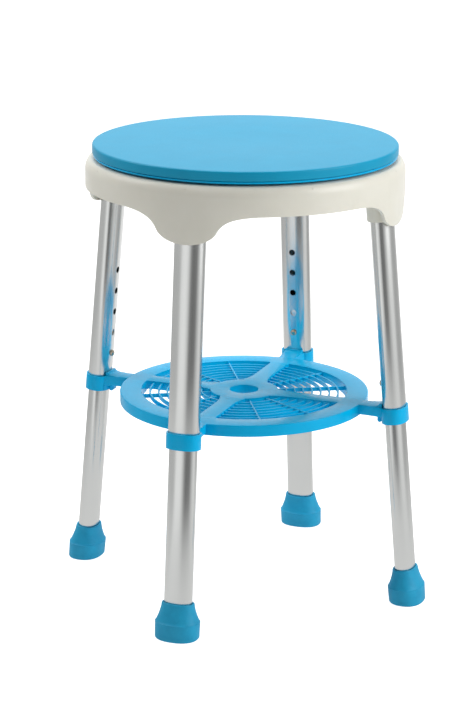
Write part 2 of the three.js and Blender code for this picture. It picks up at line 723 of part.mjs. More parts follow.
function trayHub() {
  const inner = TRAY_HOLE_RADIUS + TRAY_PLATE;
  const outer = TRAY_HUB_RADIUS - TRAY_PLATE;
  const pocket = ring(inner, outer, trayBottom - ROOT, TRAY_TOP - TRAY_PLATE, SLAT_SIDES);
  return solid(disc(TRAY_HUB_RADIUS, trayBottom, TRAY_TOP, SLAT_SIDES)).subtract(solid(pocket));
}

function traySlats() {
  const inner = TRAY_RADIUS - TRAY_RIM_WIDTH;
  const pitch = (inner - TRAY_HUB_RADIUS) / (SLAT_COUNT + 1);
  const top = TRAY_TOP - SLAT_SETBACK;
  const half = SLAT_THICKNESS / 2;
  const slats = Array.from({ length: SLAT_COUNT }, (_, i) => {
    const middle = TRAY_HUB_RADIUS + pitch * (i + 1);
    return solid(ring(middle - half, middle + half, top - SLAT_DEPTH, top, SLAT_SIDES));
  });
  return united([...slats, ...trayStruts(top, half)]);
}

// Thin radial struts between the spokes.
function trayStruts(top, half) {
  const struts = [];
  const from = TRAY_HUB_RADIUS - TRAY_PLATE / 2;
  const to = TRAY_RADIUS - TRAY_RIM_WIDTH + TRAY_PLATE / 2;
  const perQuarter = 360 / LEG_COUNT / STRUT_SPACING_DEG;
  for (let leg = 0; leg < LEG_COUNT; leg += 1) {
    for (let step = 1; step < perQuarter; step += 1) {
      const angle = legAngle(leg) + THREE.MathUtils.degToRad(STRUT_SPACING_DEG * step);
      struts.push(solid(block(from, to, -half, half, top - SLAT_DEPTH, top).rotateZ(angle)));
    }
  }
  return struts;
}

// Arm from the rim to a leg, seen from above: it widens to meet its collar.
function armPlan(half, wide, to) {
  const from = TRAY_RADIUS - TRAY_PLATE / 2;
  const middle = (from + to) / 2;
  const outline = new THREE.Shape();
  outline.moveTo(from, -half);
  outline.quadraticCurveTo(middle, -half, to - ARM_END_BLEND, -wide);
  outline.lineTo(to, -wide);
  outline.lineTo(to, wide);
  outline.lineTo(to - ARM_END_BLEND, wide);
  outline.quadraticCurveTo(middle, half, from, half);
  outline.closePath();
  return outline;
}

const armTip = axisRadius(TRAY_TOP) - SEAM_INSET;
const armBottom = TRAY_TOP - ARM_DEPTH;

function arm() {
  return raised(armPlan(ARM_HALF_WIDTH, ARM_END_HALF_WIDTH, armTip + ARM_END_BLEND), armBottom, collarTop);
}

function armPocket() {
  const half = ARM_HALF_WIDTH - TRAY_PLATE;
  return raised(armPlan(half, half, armTip - ARM_BLOCK), armBottom - ROOT, TRAY_TOP - TRAY_PLATE);
}

// What lies above the arm's sloping top.
function armHeadroom() {
  const from = TRAY_RADIUS;
  const outline = new THREE.Shape();
  outline.moveTo(from - ROOT, TRAY_TOP);
  outline.lineTo(from, TRAY_TOP);
  outline.lineTo(armTip, collarTop);
  outline.lineTo(armTip + OVERRUN, collarTop);
  outline.lineTo(armTip + OVERRUN, collarTop + ROOT);
  outline.lineTo(from - ROOT, collarTop + ROOT);
  outline.closePath();
  return raised(outline, -OVERRUN, OVERRUN).rotateX(Math.PI / 2);
}

// The low wall behind a tube, with a ramp down to the arm's top.
function armRidge() {
  const crest = axisRadius(TRAY_TOP) - RIDGE_INSET;
  const outline = new THREE.Shape();
  outline.moveTo(armTip, TRAY_TOP - ROOT);
  outline.lineTo(armTip, TRAY_TOP + RIDGE_RISE);
  outline.lineTo(crest, TRAY_TOP + RIDGE_RISE);
  outline.quadraticCurveTo(crest, TRAY_TOP, crest - RIDGE_RAMP, TRAY_TOP);
  outline.lineTo(crest - RIDGE_RAMP, TRAY_TOP - ROOT);
  outline.closePath();
  return raised(outline, -RIDGE_HALF_WIDTH, RIDGE_HALF_WIDTH).rotateX(Math.PI / 2);
}

// The lug under an arm, just behind its collar: a strap with a round tip.
const catchAt = axisRadius(TRAY_TOP) - CATCH_INSET;
const catchLow = armBottom - CATCH_DROP + CATCH_RADIUS;

function catchStrap() {
  const [half, wide] = [CATCH_RADIUS, CATCH_HALF_WIDTH];
  return block(catchAt - half, catchAt + half, -wide, wide, catchLow, armBottom + ROOT);
}

function catchTip() {
  const bar = disc(CATCH_RADIUS, -CATCH_HALF_WIDTH, CATCH_HALF_WIDTH, SMALL_SIDES);
  return bar.rotateX(Math.PI / 2).translate(catchAt, 0, catchLow);
}

function saddles() {
  const saddle = collarSleeve().intersect(traySide(0));
  return atLegs(() => geometryOf(saddle));
}

function tray() {
  const low = trayBottom - ROOT;
  const channelTop = TRAY_TOP - TRAY_PLATE;
  const spokes = facingLegs(() => raised(spokePlan(0), TRAY_TOP - SPOKE_DEPTH, TRAY_TOP));
  const channels = facingLegs(() => raised(spokePlan(TRAY_PLATE), low, channelTop));
  const beams = facingLegs(arm).subtract(facingLegs(armPocket)).subtract(facingLegs(armHeadroom));
  const fittings = [armRidge, catchStrap, catchTip].map((make) => facingLegs(make));
  const grille = traySlats().subtract(facingLegs(() => raised(spokePlan(0), low, TRAY_TOP)));
  const room = geometryOf(tubeRoom());
  return united([trayRim(), trayHub(), spokes.subtract(channels), grille, beams, ...fittings])
    .subtract(atLegs(legSide))
    .subtract(atLegs(() => room.clone()))
    .add(saddles())
    .subtract(solid(disc(TRAY_HOLE_RADIUS, low, TRAY_TOP + ROOT, SLAT_SIDES)));
}

// ---- Assembly ----
const stool = new THREE.Group();
stool.add(piece("seat_cushion", seatCushion(), foam));
stool.add(piece("seat_board", seatBoard(), bluePlastic));
stool.add(piece("pivot_bolt", pivotBolt(), steel));
stool.add(piece("pivot_bush", pivotBush(), acetal));
stool.add(piece("pivot_washer", pivotWasher(), steel));
stool.add(piece("pivot_nut", pivotNut(), steel));
stool.add(piece("glide_ring", glideRing(), acetal));
stool.add(piece("seat_frame", seatFrame(), ivoryPlastic));
stool.add(piece("tray", tray(), bluePlastic));

const legPieces = [
  ["upper_tube", upperLegTube(), aluminium],
  ["lower_tube", lowerLegTube(), aluminium],
  ["foot", foot(), blueRubber],
  ["foot_insert", footInsert(), steel],
  ["snap_button", snapButton(), steel],
  ["snap_spring", snapSpring(), springSteel],
  ["clamp_collar", clampCollar(), bluePlastic],
  ["leg_screw", legScrew(), steel],
];

for (let index = 0; index < LEG_COUNT; index += 1) {
  const station = new THREE.Group();
  station.rotation.z = legAngle(index);
  const leg = new THREE.Group();
  leg.position.x = FOOT_CIRCLE_RADIUS;
  leg.rotation.y = -lean;
  for (const [name, body, material] of legPieces) {
    leg.add(piece(`${name}_${index + 1}`, body, material));
  }
  station.add(leg);
  stool.add(station);
}

export default stool;
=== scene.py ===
# %% [markdown]
# # A swivel shower stool, dressed in Blender
#
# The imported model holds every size, joint and moving body of the stool. This notebook loads it as a
# fixed frame and gives each part its finished shape and surface: moulded plastic, foam, drawn
# aluminium tube, rubber and plated steel. Everything is in metres, with Z up and the floor at zero.

# %% Load the frame
import json
import math

import bmesh
import bpy
from mathutils import Matrix, Vector
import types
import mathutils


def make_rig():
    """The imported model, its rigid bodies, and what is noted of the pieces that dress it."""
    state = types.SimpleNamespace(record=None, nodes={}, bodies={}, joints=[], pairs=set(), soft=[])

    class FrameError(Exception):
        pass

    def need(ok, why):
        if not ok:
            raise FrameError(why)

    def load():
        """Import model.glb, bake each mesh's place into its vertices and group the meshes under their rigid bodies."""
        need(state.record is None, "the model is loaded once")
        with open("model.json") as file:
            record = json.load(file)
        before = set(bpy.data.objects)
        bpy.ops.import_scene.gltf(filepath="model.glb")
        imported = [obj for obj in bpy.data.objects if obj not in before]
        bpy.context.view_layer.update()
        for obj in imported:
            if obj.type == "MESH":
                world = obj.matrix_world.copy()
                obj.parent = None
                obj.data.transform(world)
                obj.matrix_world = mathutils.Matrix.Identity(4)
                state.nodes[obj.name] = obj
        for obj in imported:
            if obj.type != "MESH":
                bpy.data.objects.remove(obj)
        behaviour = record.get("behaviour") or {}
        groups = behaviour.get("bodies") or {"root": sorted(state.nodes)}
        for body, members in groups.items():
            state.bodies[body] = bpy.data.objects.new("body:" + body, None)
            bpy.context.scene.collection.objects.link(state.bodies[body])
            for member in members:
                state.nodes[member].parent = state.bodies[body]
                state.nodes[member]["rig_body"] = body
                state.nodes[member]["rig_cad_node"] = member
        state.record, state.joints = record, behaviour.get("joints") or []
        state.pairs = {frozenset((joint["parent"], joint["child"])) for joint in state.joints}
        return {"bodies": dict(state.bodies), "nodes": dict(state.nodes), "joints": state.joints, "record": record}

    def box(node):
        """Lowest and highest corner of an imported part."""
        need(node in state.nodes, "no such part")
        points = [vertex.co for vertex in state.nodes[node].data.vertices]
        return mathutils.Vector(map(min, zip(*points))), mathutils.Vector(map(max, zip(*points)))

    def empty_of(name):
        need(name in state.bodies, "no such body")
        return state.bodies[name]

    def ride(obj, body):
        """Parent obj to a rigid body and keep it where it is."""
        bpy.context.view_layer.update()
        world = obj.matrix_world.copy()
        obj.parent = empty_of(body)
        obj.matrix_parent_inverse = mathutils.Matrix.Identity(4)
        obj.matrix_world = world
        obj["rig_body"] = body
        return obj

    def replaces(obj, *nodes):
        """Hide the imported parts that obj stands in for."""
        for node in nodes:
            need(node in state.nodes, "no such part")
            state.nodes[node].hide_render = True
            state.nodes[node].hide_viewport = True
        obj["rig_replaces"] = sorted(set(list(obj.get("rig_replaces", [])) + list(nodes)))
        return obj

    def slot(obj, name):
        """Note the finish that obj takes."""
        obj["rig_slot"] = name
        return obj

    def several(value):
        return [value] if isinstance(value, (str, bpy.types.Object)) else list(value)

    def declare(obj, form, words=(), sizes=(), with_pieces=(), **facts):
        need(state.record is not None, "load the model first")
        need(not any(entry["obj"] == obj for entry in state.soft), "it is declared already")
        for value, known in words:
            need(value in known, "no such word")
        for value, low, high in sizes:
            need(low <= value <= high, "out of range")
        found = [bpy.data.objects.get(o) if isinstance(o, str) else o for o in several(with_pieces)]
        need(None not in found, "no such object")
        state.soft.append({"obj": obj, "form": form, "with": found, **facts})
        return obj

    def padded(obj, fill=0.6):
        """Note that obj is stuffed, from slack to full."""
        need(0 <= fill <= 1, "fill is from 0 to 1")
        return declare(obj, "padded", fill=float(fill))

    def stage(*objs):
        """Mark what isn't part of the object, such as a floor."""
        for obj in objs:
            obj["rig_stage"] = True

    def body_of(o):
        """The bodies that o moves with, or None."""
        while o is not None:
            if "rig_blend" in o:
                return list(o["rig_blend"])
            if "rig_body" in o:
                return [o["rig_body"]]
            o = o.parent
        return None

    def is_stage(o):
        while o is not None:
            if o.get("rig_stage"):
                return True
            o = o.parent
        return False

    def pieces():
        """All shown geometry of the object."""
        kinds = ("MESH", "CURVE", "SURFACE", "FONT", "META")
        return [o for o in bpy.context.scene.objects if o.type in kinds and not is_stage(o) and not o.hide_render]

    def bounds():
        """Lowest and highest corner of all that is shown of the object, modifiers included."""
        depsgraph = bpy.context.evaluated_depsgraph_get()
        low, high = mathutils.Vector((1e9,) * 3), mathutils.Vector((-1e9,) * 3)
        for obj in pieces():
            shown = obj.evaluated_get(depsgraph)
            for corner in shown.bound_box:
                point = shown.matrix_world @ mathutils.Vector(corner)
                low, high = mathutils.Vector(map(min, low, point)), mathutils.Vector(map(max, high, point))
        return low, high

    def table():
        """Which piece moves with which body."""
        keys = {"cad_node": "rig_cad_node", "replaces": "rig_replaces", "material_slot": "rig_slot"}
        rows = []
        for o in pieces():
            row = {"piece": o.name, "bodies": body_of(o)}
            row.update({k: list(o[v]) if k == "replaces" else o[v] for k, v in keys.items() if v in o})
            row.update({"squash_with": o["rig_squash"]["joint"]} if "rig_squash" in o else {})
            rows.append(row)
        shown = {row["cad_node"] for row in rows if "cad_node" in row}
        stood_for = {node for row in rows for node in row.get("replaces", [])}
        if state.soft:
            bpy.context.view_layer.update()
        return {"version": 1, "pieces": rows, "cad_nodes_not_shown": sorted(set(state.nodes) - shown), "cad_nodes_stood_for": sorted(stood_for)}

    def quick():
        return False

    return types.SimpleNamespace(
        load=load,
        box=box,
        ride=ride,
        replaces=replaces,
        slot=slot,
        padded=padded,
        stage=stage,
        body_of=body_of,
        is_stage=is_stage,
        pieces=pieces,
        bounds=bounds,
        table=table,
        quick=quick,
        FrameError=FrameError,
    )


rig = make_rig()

MM = 0.001
TOUCHING = MM / 1000  # points closer than this are one

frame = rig.load()
cad_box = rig.bounds()
print("CAD box:", [[round(v, 4) for v in corner] for corner in cad_box])

# %% [markdown]
# ## Camera
#
# A camera can be aimed with a Track To constraint, or turned by its own angles. Angles are used here,
# because a view that is known as "so far away, so high, looking down so much" can be typed in
# directly. The stool is seen from its front left, from above the seat, through a long lens, so its
# legs keep their true lean.

# %% Camera
CAMERA_PLACE = Vector((-1.0893, -2.4448, 1.0246))
LOOK_ROUND = math.radians(-23.8124)
LOOK_DOWN = math.radians(15.725)
CAMERA_ROLL = math.radians(0.2626)
CAMERA_LENS = 122.86
SENSOR_WIDTH = 36

camera_data = bpy.data.cameras.new("camera")
camera_data.lens = CAMERA_LENS
camera_data.sensor_width = SENSOR_WIDTH
camera = bpy.data.objects.new("camera", camera_data)
bpy.context.scene.collection.objects.link(camera)
aim = Matrix.Rotation(LOOK_ROUND, 4, "Z") @ Matrix.Rotation(math.pi / 2 - LOOK_DOWN, 4, "X")
camera.matrix_world = Matrix.Translation(CAMERA_PLACE) @ aim @ Matrix.Rotation(CAMERA_ROLL, 4, "Z")
bpy.context.scene.camera = camera
print("camera", round(CAMERA_PLACE.length, 2), "m from the point under the seat")

# %% [markdown]
# ## Working tools
#
# By hand, a part starts from a primitive, goes into edit mode, and is shaped with a few operators.
# The helpers below do the same steps. One traces a line by extruding a single vertex again and
# again. A traced line is then spun round Z, or filled and pulled up into a plate. Parts are joined
# and cut with the Boolean modifier, and their edges are softened with the Bevel modifier, because a
# moulded edge is never quite sharp.

# %% Tools for shaping
def pick_out(piece):
    """Makes one piece the selected and active one."""
    bpy.ops.object.select_all(action="DESELECT")
    piece.select_set(True)
    bpy.context.view_layer.objects.active = piece
    return piece


def named(name):
    """Names the primitive just added, and puts its place into its mesh."""
    piece = bpy.context.active_object
    piece.name = piece.data.name = name
    bpy.ops.object.transform_apply(location=True, rotation=True, scale=True)
    return piece


def finished_with(piece, kind, **settings):
    """Adds a modifier, sets it and applies it."""
    pick_out(piece)
    modifier = piece.modifiers.new(kind.title(), kind)
    for setting, value in settings.items():
        setattr(modifier, setting, value)
    bpy.ops.object.modifier_apply(modifier=modifier.name)
    return piece


def combined(piece, tool, operation):
    """Joins, cuts or trims a piece with a tool, which is used up."""
    finished_with(piece, "BOOLEAN", object=tool, operation=operation, solver="MANIFOLD")
    bpy.data.objects.remove(tool)
    return piece


def joined(piece, *tools):
    for tool in tools:
        combined(piece, tool, "UNION")
    return piece


def cut(piece, *tools):
    for tool in tools:
        combined(piece, tool, "DIFFERENCE")
    return piece


def softened(piece, width, segments=2, above_degrees=35):
    """Rounds every edge sharper than an angle."""
    return finished_with(
        piece, "BEVEL", width=width, segments=segments, limit_method="ANGLE",
        angle_limit=math.radians(above_degrees), use_clamp_overlap=True)


def smoothed(piece, degrees=32):
    pick_out(piece)
    bpy.ops.object.shade_smooth_by_angle(angle=math.radians(degrees))
    return piece


def traced(name, points):
    """Draws a line through (x, y, z) points by extruding one vertex along it, and stays in edit mode."""
    bpy.ops.object.select_all(action="DESELECT")
    bpy.ops.mesh.primitive_plane_add(size=MM, location=points[0])
    piece = named(name)
    bpy.ops.object.mode_set(mode="EDIT")
    bpy.ops.mesh.select_mode(type="VERT")
    bpy.ops.mesh.merge(type="CENTER")
    for here, there in zip(points, points[1:]):
        step = Vector(there) - Vector(here)
        bpy.ops.mesh.extrude_region_move(TRANSFORM_OT_translate={"value": step})
    bpy.ops.mesh.select_all(action="SELECT")
    return piece


def facing_out(piece):
    """Turns the normals of a closed solid outwards, and leaves edit mode."""
    bpy.ops.mesh.select_all(action="SELECT")
    bpy.ops.mesh.normals_make_consistent(inside=False)
    bpy.ops.object.mode_set(mode="OBJECT")
    return piece


def turned(name, profile, sides=192):
    """Spins a closed outline of (radius, height) points round the Z axis."""
    piece = traced(name, [(radius, 0, height) for radius, height in [*profile, profile[0]]])
    bpy.ops.mesh.spin(steps=sides, angle=2 * math.pi, center=(0, 0, 0), axis=(0, 0, 1))
    bpy.ops.mesh.select_all(action="SELECT")
    bpy.ops.mesh.remove_doubles(threshold=TOUCHING)
    bpy.ops.mesh.delete_loose()
    return facing_out(piece)


def plate(name, outline, pull):
    """Fills a closed outline of (x, y, z) points and pulls it out by a vector."""
    piece = traced(name, [*outline, outline[0]])
    bpy.ops.mesh.remove_doubles(threshold=TOUCHING)
    bpy.ops.mesh.edge_face_add()
    bpy.ops.mesh.extrude_region_move(TRANSFORM_OT_translate={"value": pull})
    return facing_out(piece)


def drum(name, radius, low, high, sides=64):
    """A plain cylinder between two heights, to join or cut with."""
    bpy.ops.object.select_all(action="DESELECT")
    bpy.ops.mesh.primitive_cylinder_add(
        vertices=sides, radius=radius, depth=high - low, location=(0, 0, (low + high) / 2))
    return named(name)


def block(name, low, high):
    """A plain box between two corners, to join or cut with."""
    bpy.ops.object.select_all(action="DESELECT")
    size = Vector(high) - Vector(low)
    bpy.ops.mesh.primitive_cube_add(size=1, location=(Vector(low) + Vector(high)) / 2, scale=size)
    return named(name)


def placed(piece, place):
    """Moves a finished shape to its place, and leaves the object itself at the origin."""
    pick_out(piece)
    piece.matrix_world = place
    bpy.ops.object.transform_apply(location=True, rotation=True, scale=True)
    return piece


def copied(piece, name, place):
    """A copy with its own mesh, put in its place."""
    twin = piece.copy()
    twin.data = piece.data.copy()
    twin.name = twin.data.name = name
    bpy.context.scene.collection.objects.link(twin)
    return placed(twin, place)


def arc(centre, size, start, end, steps):
    """Points on part of an ellipse from one angle to another, in degrees."""
    points = []
    for i in range(steps + 1):
        angle = math.radians(start + (end - start) * i / steps)
        points.append((centre[0] + size[0] * math.cos(angle), centre[1] + size[1] * math.sin(angle)))
    return points


def curve(points, steps):
    """Points on a Bezier curve after its first point, from three or four control points."""
    found = []
    for i in range(1, steps + 1):
        t = i / steps
        row = [Vector(p) for p in points]
        while len(row) > 1:
            row = [a.lerp(b, t) for a, b in zip(row, row[1:])]
        found.append(tuple(row[0]))
    return found


def corners(piece):
    return len(piece.data.vertices)


print("tools ready")

# %% [markdown]
# ## The legs' axes
#
# Each leg leans outwards, and its tube, collar and foot are built round its own axis: X away from the
# stool's middle, Y along the rim, Z up the leg. The lean can be read from the joint on which the leg
# slides, so it isn't typed in twice. A piece is modelled once at the origin and copied to the legs.

# %% Places of the legs
LEG_CIRCLE = 202.4 * MM  # from the stool's middle to a leg's axis, on the floor
FIRST_LEG_DEG = 45
LEGS = (1, 2, 3, 4)

slide_axis = Vector(next(j["axis"] for j in frame["joints"] if j["name"] == "leg_slide_1"))
LEAN = math.acos(slide_axis.z / slide_axis.length)


def facing(leg):
    """Turns a shape built along X towards a leg."""
    return Matrix.Rotation(math.radians(FIRST_LEG_DEG + 90 * (leg - 1)), 4, "Z")


def leg_place(leg):
    lean = Matrix.Rotation(-LEAN, 4, "Y")
    return facing(leg) @ Matrix.Translation((LEG_CIRCLE, 0, 0)) @ lean


def along(height):
    """Distance up a leg's axis for a height above the floor."""
    return height / math.cos(LEAN)


def axis_radius(height):
    """Distance of a leg's axis from the stool's middle, at a height above the floor."""
    return LEG_CIRCLE - height * math.tan(LEAN)


def one_per_leg(pattern, name, place=leg_place):
    """Copies a shape to every leg, and uses up the shape that was copied."""
    copies = [copied(pattern, f"{name}_{leg}", place(leg)) for leg in LEGS]
    bpy.data.objects.remove(pattern)
    return copies


def at_legs(make, place=leg_place):
    """One copy of a tool shape at every leg."""
    pattern = make()
    return one_per_leg(pattern, pattern.name, place)


print("legs lean", round(math.degrees(LEAN), 2), "degrees")

# %% [markdown]
# ## The oval of the tubes
#
# The legs are oval tube, a little squarer than an ellipse. A cylinder scaled in one direction gives a
# plain ellipse, so its corners are moved out onto the squarer oval instead. Tubes, sockets, collars
# and feet all use the same oval, grown or shrunk, which is how they fit each other.

# %% Oval bars
OVAL_POWER = 2.3
OVAL_SIDES = 96
UPPER_TUBE = Vector((12.5 * MM, 17.5 * MM))  # half its depth and half its width
TUBE_WALL = 1.2 * MM
FIT = 0.3 * MM  # between pieces that slide or rest in each other
LOWER_TUBE = UPPER_TUBE - Vector((1, 1)) * (TUBE_WALL + FIT)


def grown(half, by):
    return half + Vector((by, by))


def oval_bar(name, half, low, high, sides=OVAL_SIDES):
    piece = drum(name, 1, low, high, sides)
    for corner in piece.data.vertices:
        angle = math.atan2(corner.co.y, corner.co.x)
        for side, share in enumerate((math.cos(angle), math.sin(angle))):
            corner.co[side] = half[side] * math.copysign(abs(share) ** (2 / OVAL_POWER), share)
    return piece


def oval_tube(name, half, low, high):
    piece = oval_bar(name, half, low, high)
    return cut(piece, oval_bar("bore", grown(half, -TUBE_WALL), low - MM, high + MM))


print("upper tube", [round(2000 * v, 1) for v in UPPER_TUBE], "mm")

# %% [markdown]
# ## Seat pad
#
# The pad is a disc of closed-cell foam, 12 mm thick, with a moulded skin and a rounded rim. It could
# be a plain spun disc, but foam bulges a little where it isn't held. So the disc is spun with rings
# all the way to its middle, its rim and its glued base are pinned, and a cloth simulation blows the
# top up under a low pressure. The bulge is then scaled to the small crown that such a pad has.

# %% Seat pad
PAD_TOP_ROUND = 2.5 * MM
PAD_BASE_ROUND = 1.5 * MM
PAD_CROWN = 1.6 * MM
PAD_RINGS = 22
PAD_SIDES = 128
PAD_HELD_RIM = 4 * MM
PAD_PRESSURE = 4
CLOTH_QUALITY = 6

pad_low, pad_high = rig.box("seat_cushion")
pad_radius = pad_high.x
pad_top = pad_high.z - PAD_CROWN / 2

flat_top = [(pad_radius - PAD_TOP_ROUND) * (1 - i / PAD_RINGS) for i in range(1, PAD_RINGS + 1)]
flat_base = [(pad_radius - PAD_BASE_ROUND) * i / PAD_RINGS for i in range(PAD_RINGS)]
pad_profile = [(radius, pad_low.z) for radius in flat_base]
base_centre = (pad_radius - PAD_BASE_ROUND, pad_low.z + PAD_BASE_ROUND)
pad_profile += arc(base_centre, (PAD_BASE_ROUND,) * 2, -90, 0, 4)
pad_profile += arc((pad_radius - PAD_TOP_ROUND, pad_top - PAD_TOP_ROUND), (PAD_TOP_ROUND,) * 2, 0, 90, 6)
pad_profile += [(radius, pad_top) for radius in flat_top]
seat_pad = turned("seat_pad", pad_profile, PAD_SIDES)


def puffed(piece, held, crown, frames=20):
    """Blows a piece up as cloth, held where a test says so, and scales its rise to the crown."""
    rest = [corner.co.copy() for corner in piece.data.vertices]
    pinned = piece.vertex_groups.new(name="held")
    pinned.add([i for i, place in enumerate(rest) if held(place)], 1, "REPLACE")
    pick_out(piece)
    cloth = piece.modifiers.new("Cloth", "CLOTH")
    cloth.settings.quality = CLOTH_QUALITY
    cloth.settings.vertex_group_mass = pinned.name
    cloth.settings.use_pressure = True
    cloth.settings.uniform_pressure_force = PAD_PRESSURE
    cloth.settings.effector_weights.gravity = 0
    cloth.collision_settings.use_collision = False
    cloth.point_cache.frame_start = 1
    cloth.point_cache.frame_end = frames
    for number in range(1, frames + 1):
        bpy.context.scene.frame_set(number)
    bpy.ops.object.modifier_apply(modifier=cloth.name)
    bpy.context.scene.frame_set(1)
    rises = [corner.co - place for corner, place in zip(piece.data.vertices, rest)]
    share = crown / max(rise.length for rise in rises)
    for corner, place, rise in zip(piece.data.vertices, rest, rises):
        corner.co = place + rise * share
    piece.vertex_groups.clear()
    return max(rise.length for rise in rises)


def held_by_board(place):
    """The rim and everything under the top are glued or stiff, so they don't rise."""
    return place.xy.length > pad_radius - PAD_HELD_RIM or place.z < pad_top - MM


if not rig.quick():
    swell = puffed(seat_pad, held_by_board, PAD_CROWN)
    print("the pressure lifts the top by", round(swell * 1000, 2), "mm before it is scaled")
finished_with(seat_pad, "SUBSURF", levels=1, render_levels=1)
smoothed(seat_pad, 60)
print("seat pad", corners(seat_pad), "corners")

# %% [markdown]
# ## Seat board
#
# Under the pad sits a moulded disc that carries it, and shows as a thin bright lip round the rim. Its
# middle runs down into a boss that takes the swivel bolt. All of it is round, so one outline is
# traced and spun. Only the square hole that keeps the bolt from turning is cut afterwards.

# %% Seat board
board_low, board_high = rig.box("seat_board")
BOARD_THICKNESS = 3 * MM
BOSS_RADIUS = 20 * MM
BOLT_RADIUS = 5 * MM
BOLT_HEAD_RADIUS = 11 * MM
BOLT_SQUARE = 5 * MM  # half the side of the square neck
BOLT_HEAD_DEPTH = 3 * MM
BOSS_FILLET = 1.5 * MM
SQUARE_DEPTH = 5 * MM
LIP_THICKNESS = 2.2 * MM
LIP_REACH = 9 * MM  # how far in the lip runs before the board gets its full thickness
LIP_EDGE = 0.6 * MM

board_bottom = board_high.z - BOARD_THICKNESS
board_radius = board_high.x
lip_bottom = board_high.z - LIP_THICKNESS
head_recess = board_high.z - BOLT_HEAD_DEPTH - 2 * FIT
board_profile = [
    (BOLT_RADIUS + FIT, head_recess),
    (BOLT_RADIUS + FIT, board_low.z),
    (BOSS_RADIUS - MM, board_low.z),
    (BOSS_RADIUS, board_low.z + MM),
    (BOSS_RADIUS, board_bottom - BOSS_FILLET),
    (BOSS_RADIUS + BOSS_FILLET, board_bottom),
    (board_radius - LIP_REACH - MM, board_bottom),
    (board_radius - LIP_REACH, lip_bottom),
    *arc((board_radius - LIP_EDGE, lip_bottom + LIP_EDGE), (LIP_EDGE,) * 2, -90, 0, 4),
    *arc((board_radius - LIP_EDGE, board_high.z - LIP_EDGE), (LIP_EDGE,) * 2, 0, 90, 4),
    (BOLT_HEAD_RADIUS + FIT, board_high.z),
    (BOLT_HEAD_RADIUS + FIT, head_recess),
]
seat_board = turned("seat_board_moulding", board_profile)
square = BOLT_SQUARE + FIT
square_low = (-square, -square, head_recess - SQUARE_DEPTH)
cut(seat_board, block("square_hole", square_low, (square, square, board_high.z)))
smoothed(seat_board)
print("seat board", corners(seat_board), "corners")

# %% [markdown]
# ## Seat frame: the skirt
#
# The frame is one ivory moulding: a flat deck with a soft shoulder, and a thin skirt that drops into a
# rounded bell over each leg. The skirt could be sculpted from a grid, but a cleaner way is to spin the
# whole shell deep enough for the bells, and to trim it with a solid that has their outline: a
# disc for the level skirt, with a bell-shaped plate through each leg. The trimmed edge is then
# rounded all along, as the mould leaves it.

# %% Shell and bells
FRAME_RADIUS = 180 * MM
SHOULDER = Vector((8 * MM, 13 * MM))
SKIRT_WALL = 3.5 * MM
DECK_THICKNESS = 4 * MM
SKIRT_DEPTH = 31.5 * MM
BELL_HALF_WIDTH = 34.5 * MM
BELL_FLARE = 50 * MM
EDGE_ROUND = 1.1 * MM
TOE_WIDTH = 0.55  # the bell's rounded toe, its corner and its neck, as shares of its half width
TOE_CORNER = 0.9
NECK_WIDTH = 1.2
TOE_RISE = 7 * MM
FLANK_DROP = 2 * MM
NECK_RISE = 14 * MM
BELL_OVERLAP = 10 * MM
BELL_INSIDE = 0.45  # where the bell's plate starts, as a share of the frame's radius

frame_low, frame_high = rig.box("seat_frame")
deck_bottom = frame_high.z - DECK_THICKNESS
skirt_bottom = frame_high.z - SKIRT_DEPTH
shoulder_level = frame_high.z - SHOULDER.y
inner_shoulder = (SHOULDER.x, SHOULDER.y - DECK_THICKNESS)

seat_frame = turned("seat_frame_moulding", [
    (0, deck_bottom),
    *reversed(arc((FRAME_RADIUS - SKIRT_WALL - SHOULDER.x, shoulder_level), inner_shoulder, 0, 90, 10)),
    (FRAME_RADIUS - SKIRT_WALL, frame_low.z - MM),
    (FRAME_RADIUS, frame_low.z - MM),
    *arc((FRAME_RADIUS - SHOULDER.x, shoulder_level), SHOULDER, 0, 90, 14),
    (0, frame_high.z),
])


def bell():
    """A plate with the bell's outline, standing across a leg and running out through the skirt."""
    low, top = frame_low.z, skirt_bottom + BELL_OVERLAP
    flank = (skirt_bottom + low) / 2 - FLANK_DROP
    half, flare = BELL_HALF_WIDTH, BELL_HALF_WIDTH + BELL_FLARE
    toe, corner = half * TOE_WIDTH, half * TOE_CORNER
    lip = curve([(0, low), (toe, low), (corner, low + TOE_RISE), (half, flank)], 14)
    sweep = curve([
        (half, flank),
        (half * NECK_WIDTH, flank + NECK_RISE),
        (half + BELL_FLARE / 2, skirt_bottom),
        (flare, skirt_bottom),
    ], 18)
    right = [*lip, *sweep, (flare, top)]
    left = [(-y, z) for y, z in reversed(right)]
    inside = FRAME_RADIUS * BELL_INSIDE
    outline = [(inside, y, z) for y, z in [(0, low), *right, *left]]
    return plate("bell", outline, (FRAME_RADIUS + MM - inside, 0, 0))


room = drum("room", FRAME_RADIUS + 2 * MM, skirt_bottom, frame_high.z + MM, 192)
joined(room, *at_legs(bell, facing))
combined(seat_frame, room, "INTERSECT")
softened(seat_frame, EDGE_ROUND, 3, 50)
print("skirt and bells", corners(seat_frame), "corners")

# %% [markdown]
# ## Seat frame: sockets, hub and ribs
#
# Under the deck, each leg tube plugs into an oval socket that merges with its bell. A hub in the
# middle holds the swivel bush. Eight ribs and a hoop stiffen the deck. Each is a simple shape that
# is joined to the shell, and the holes are cut last: the bush's bore, the glide ring's groove in the
# deck, and a hole for the screw that holds each tube.

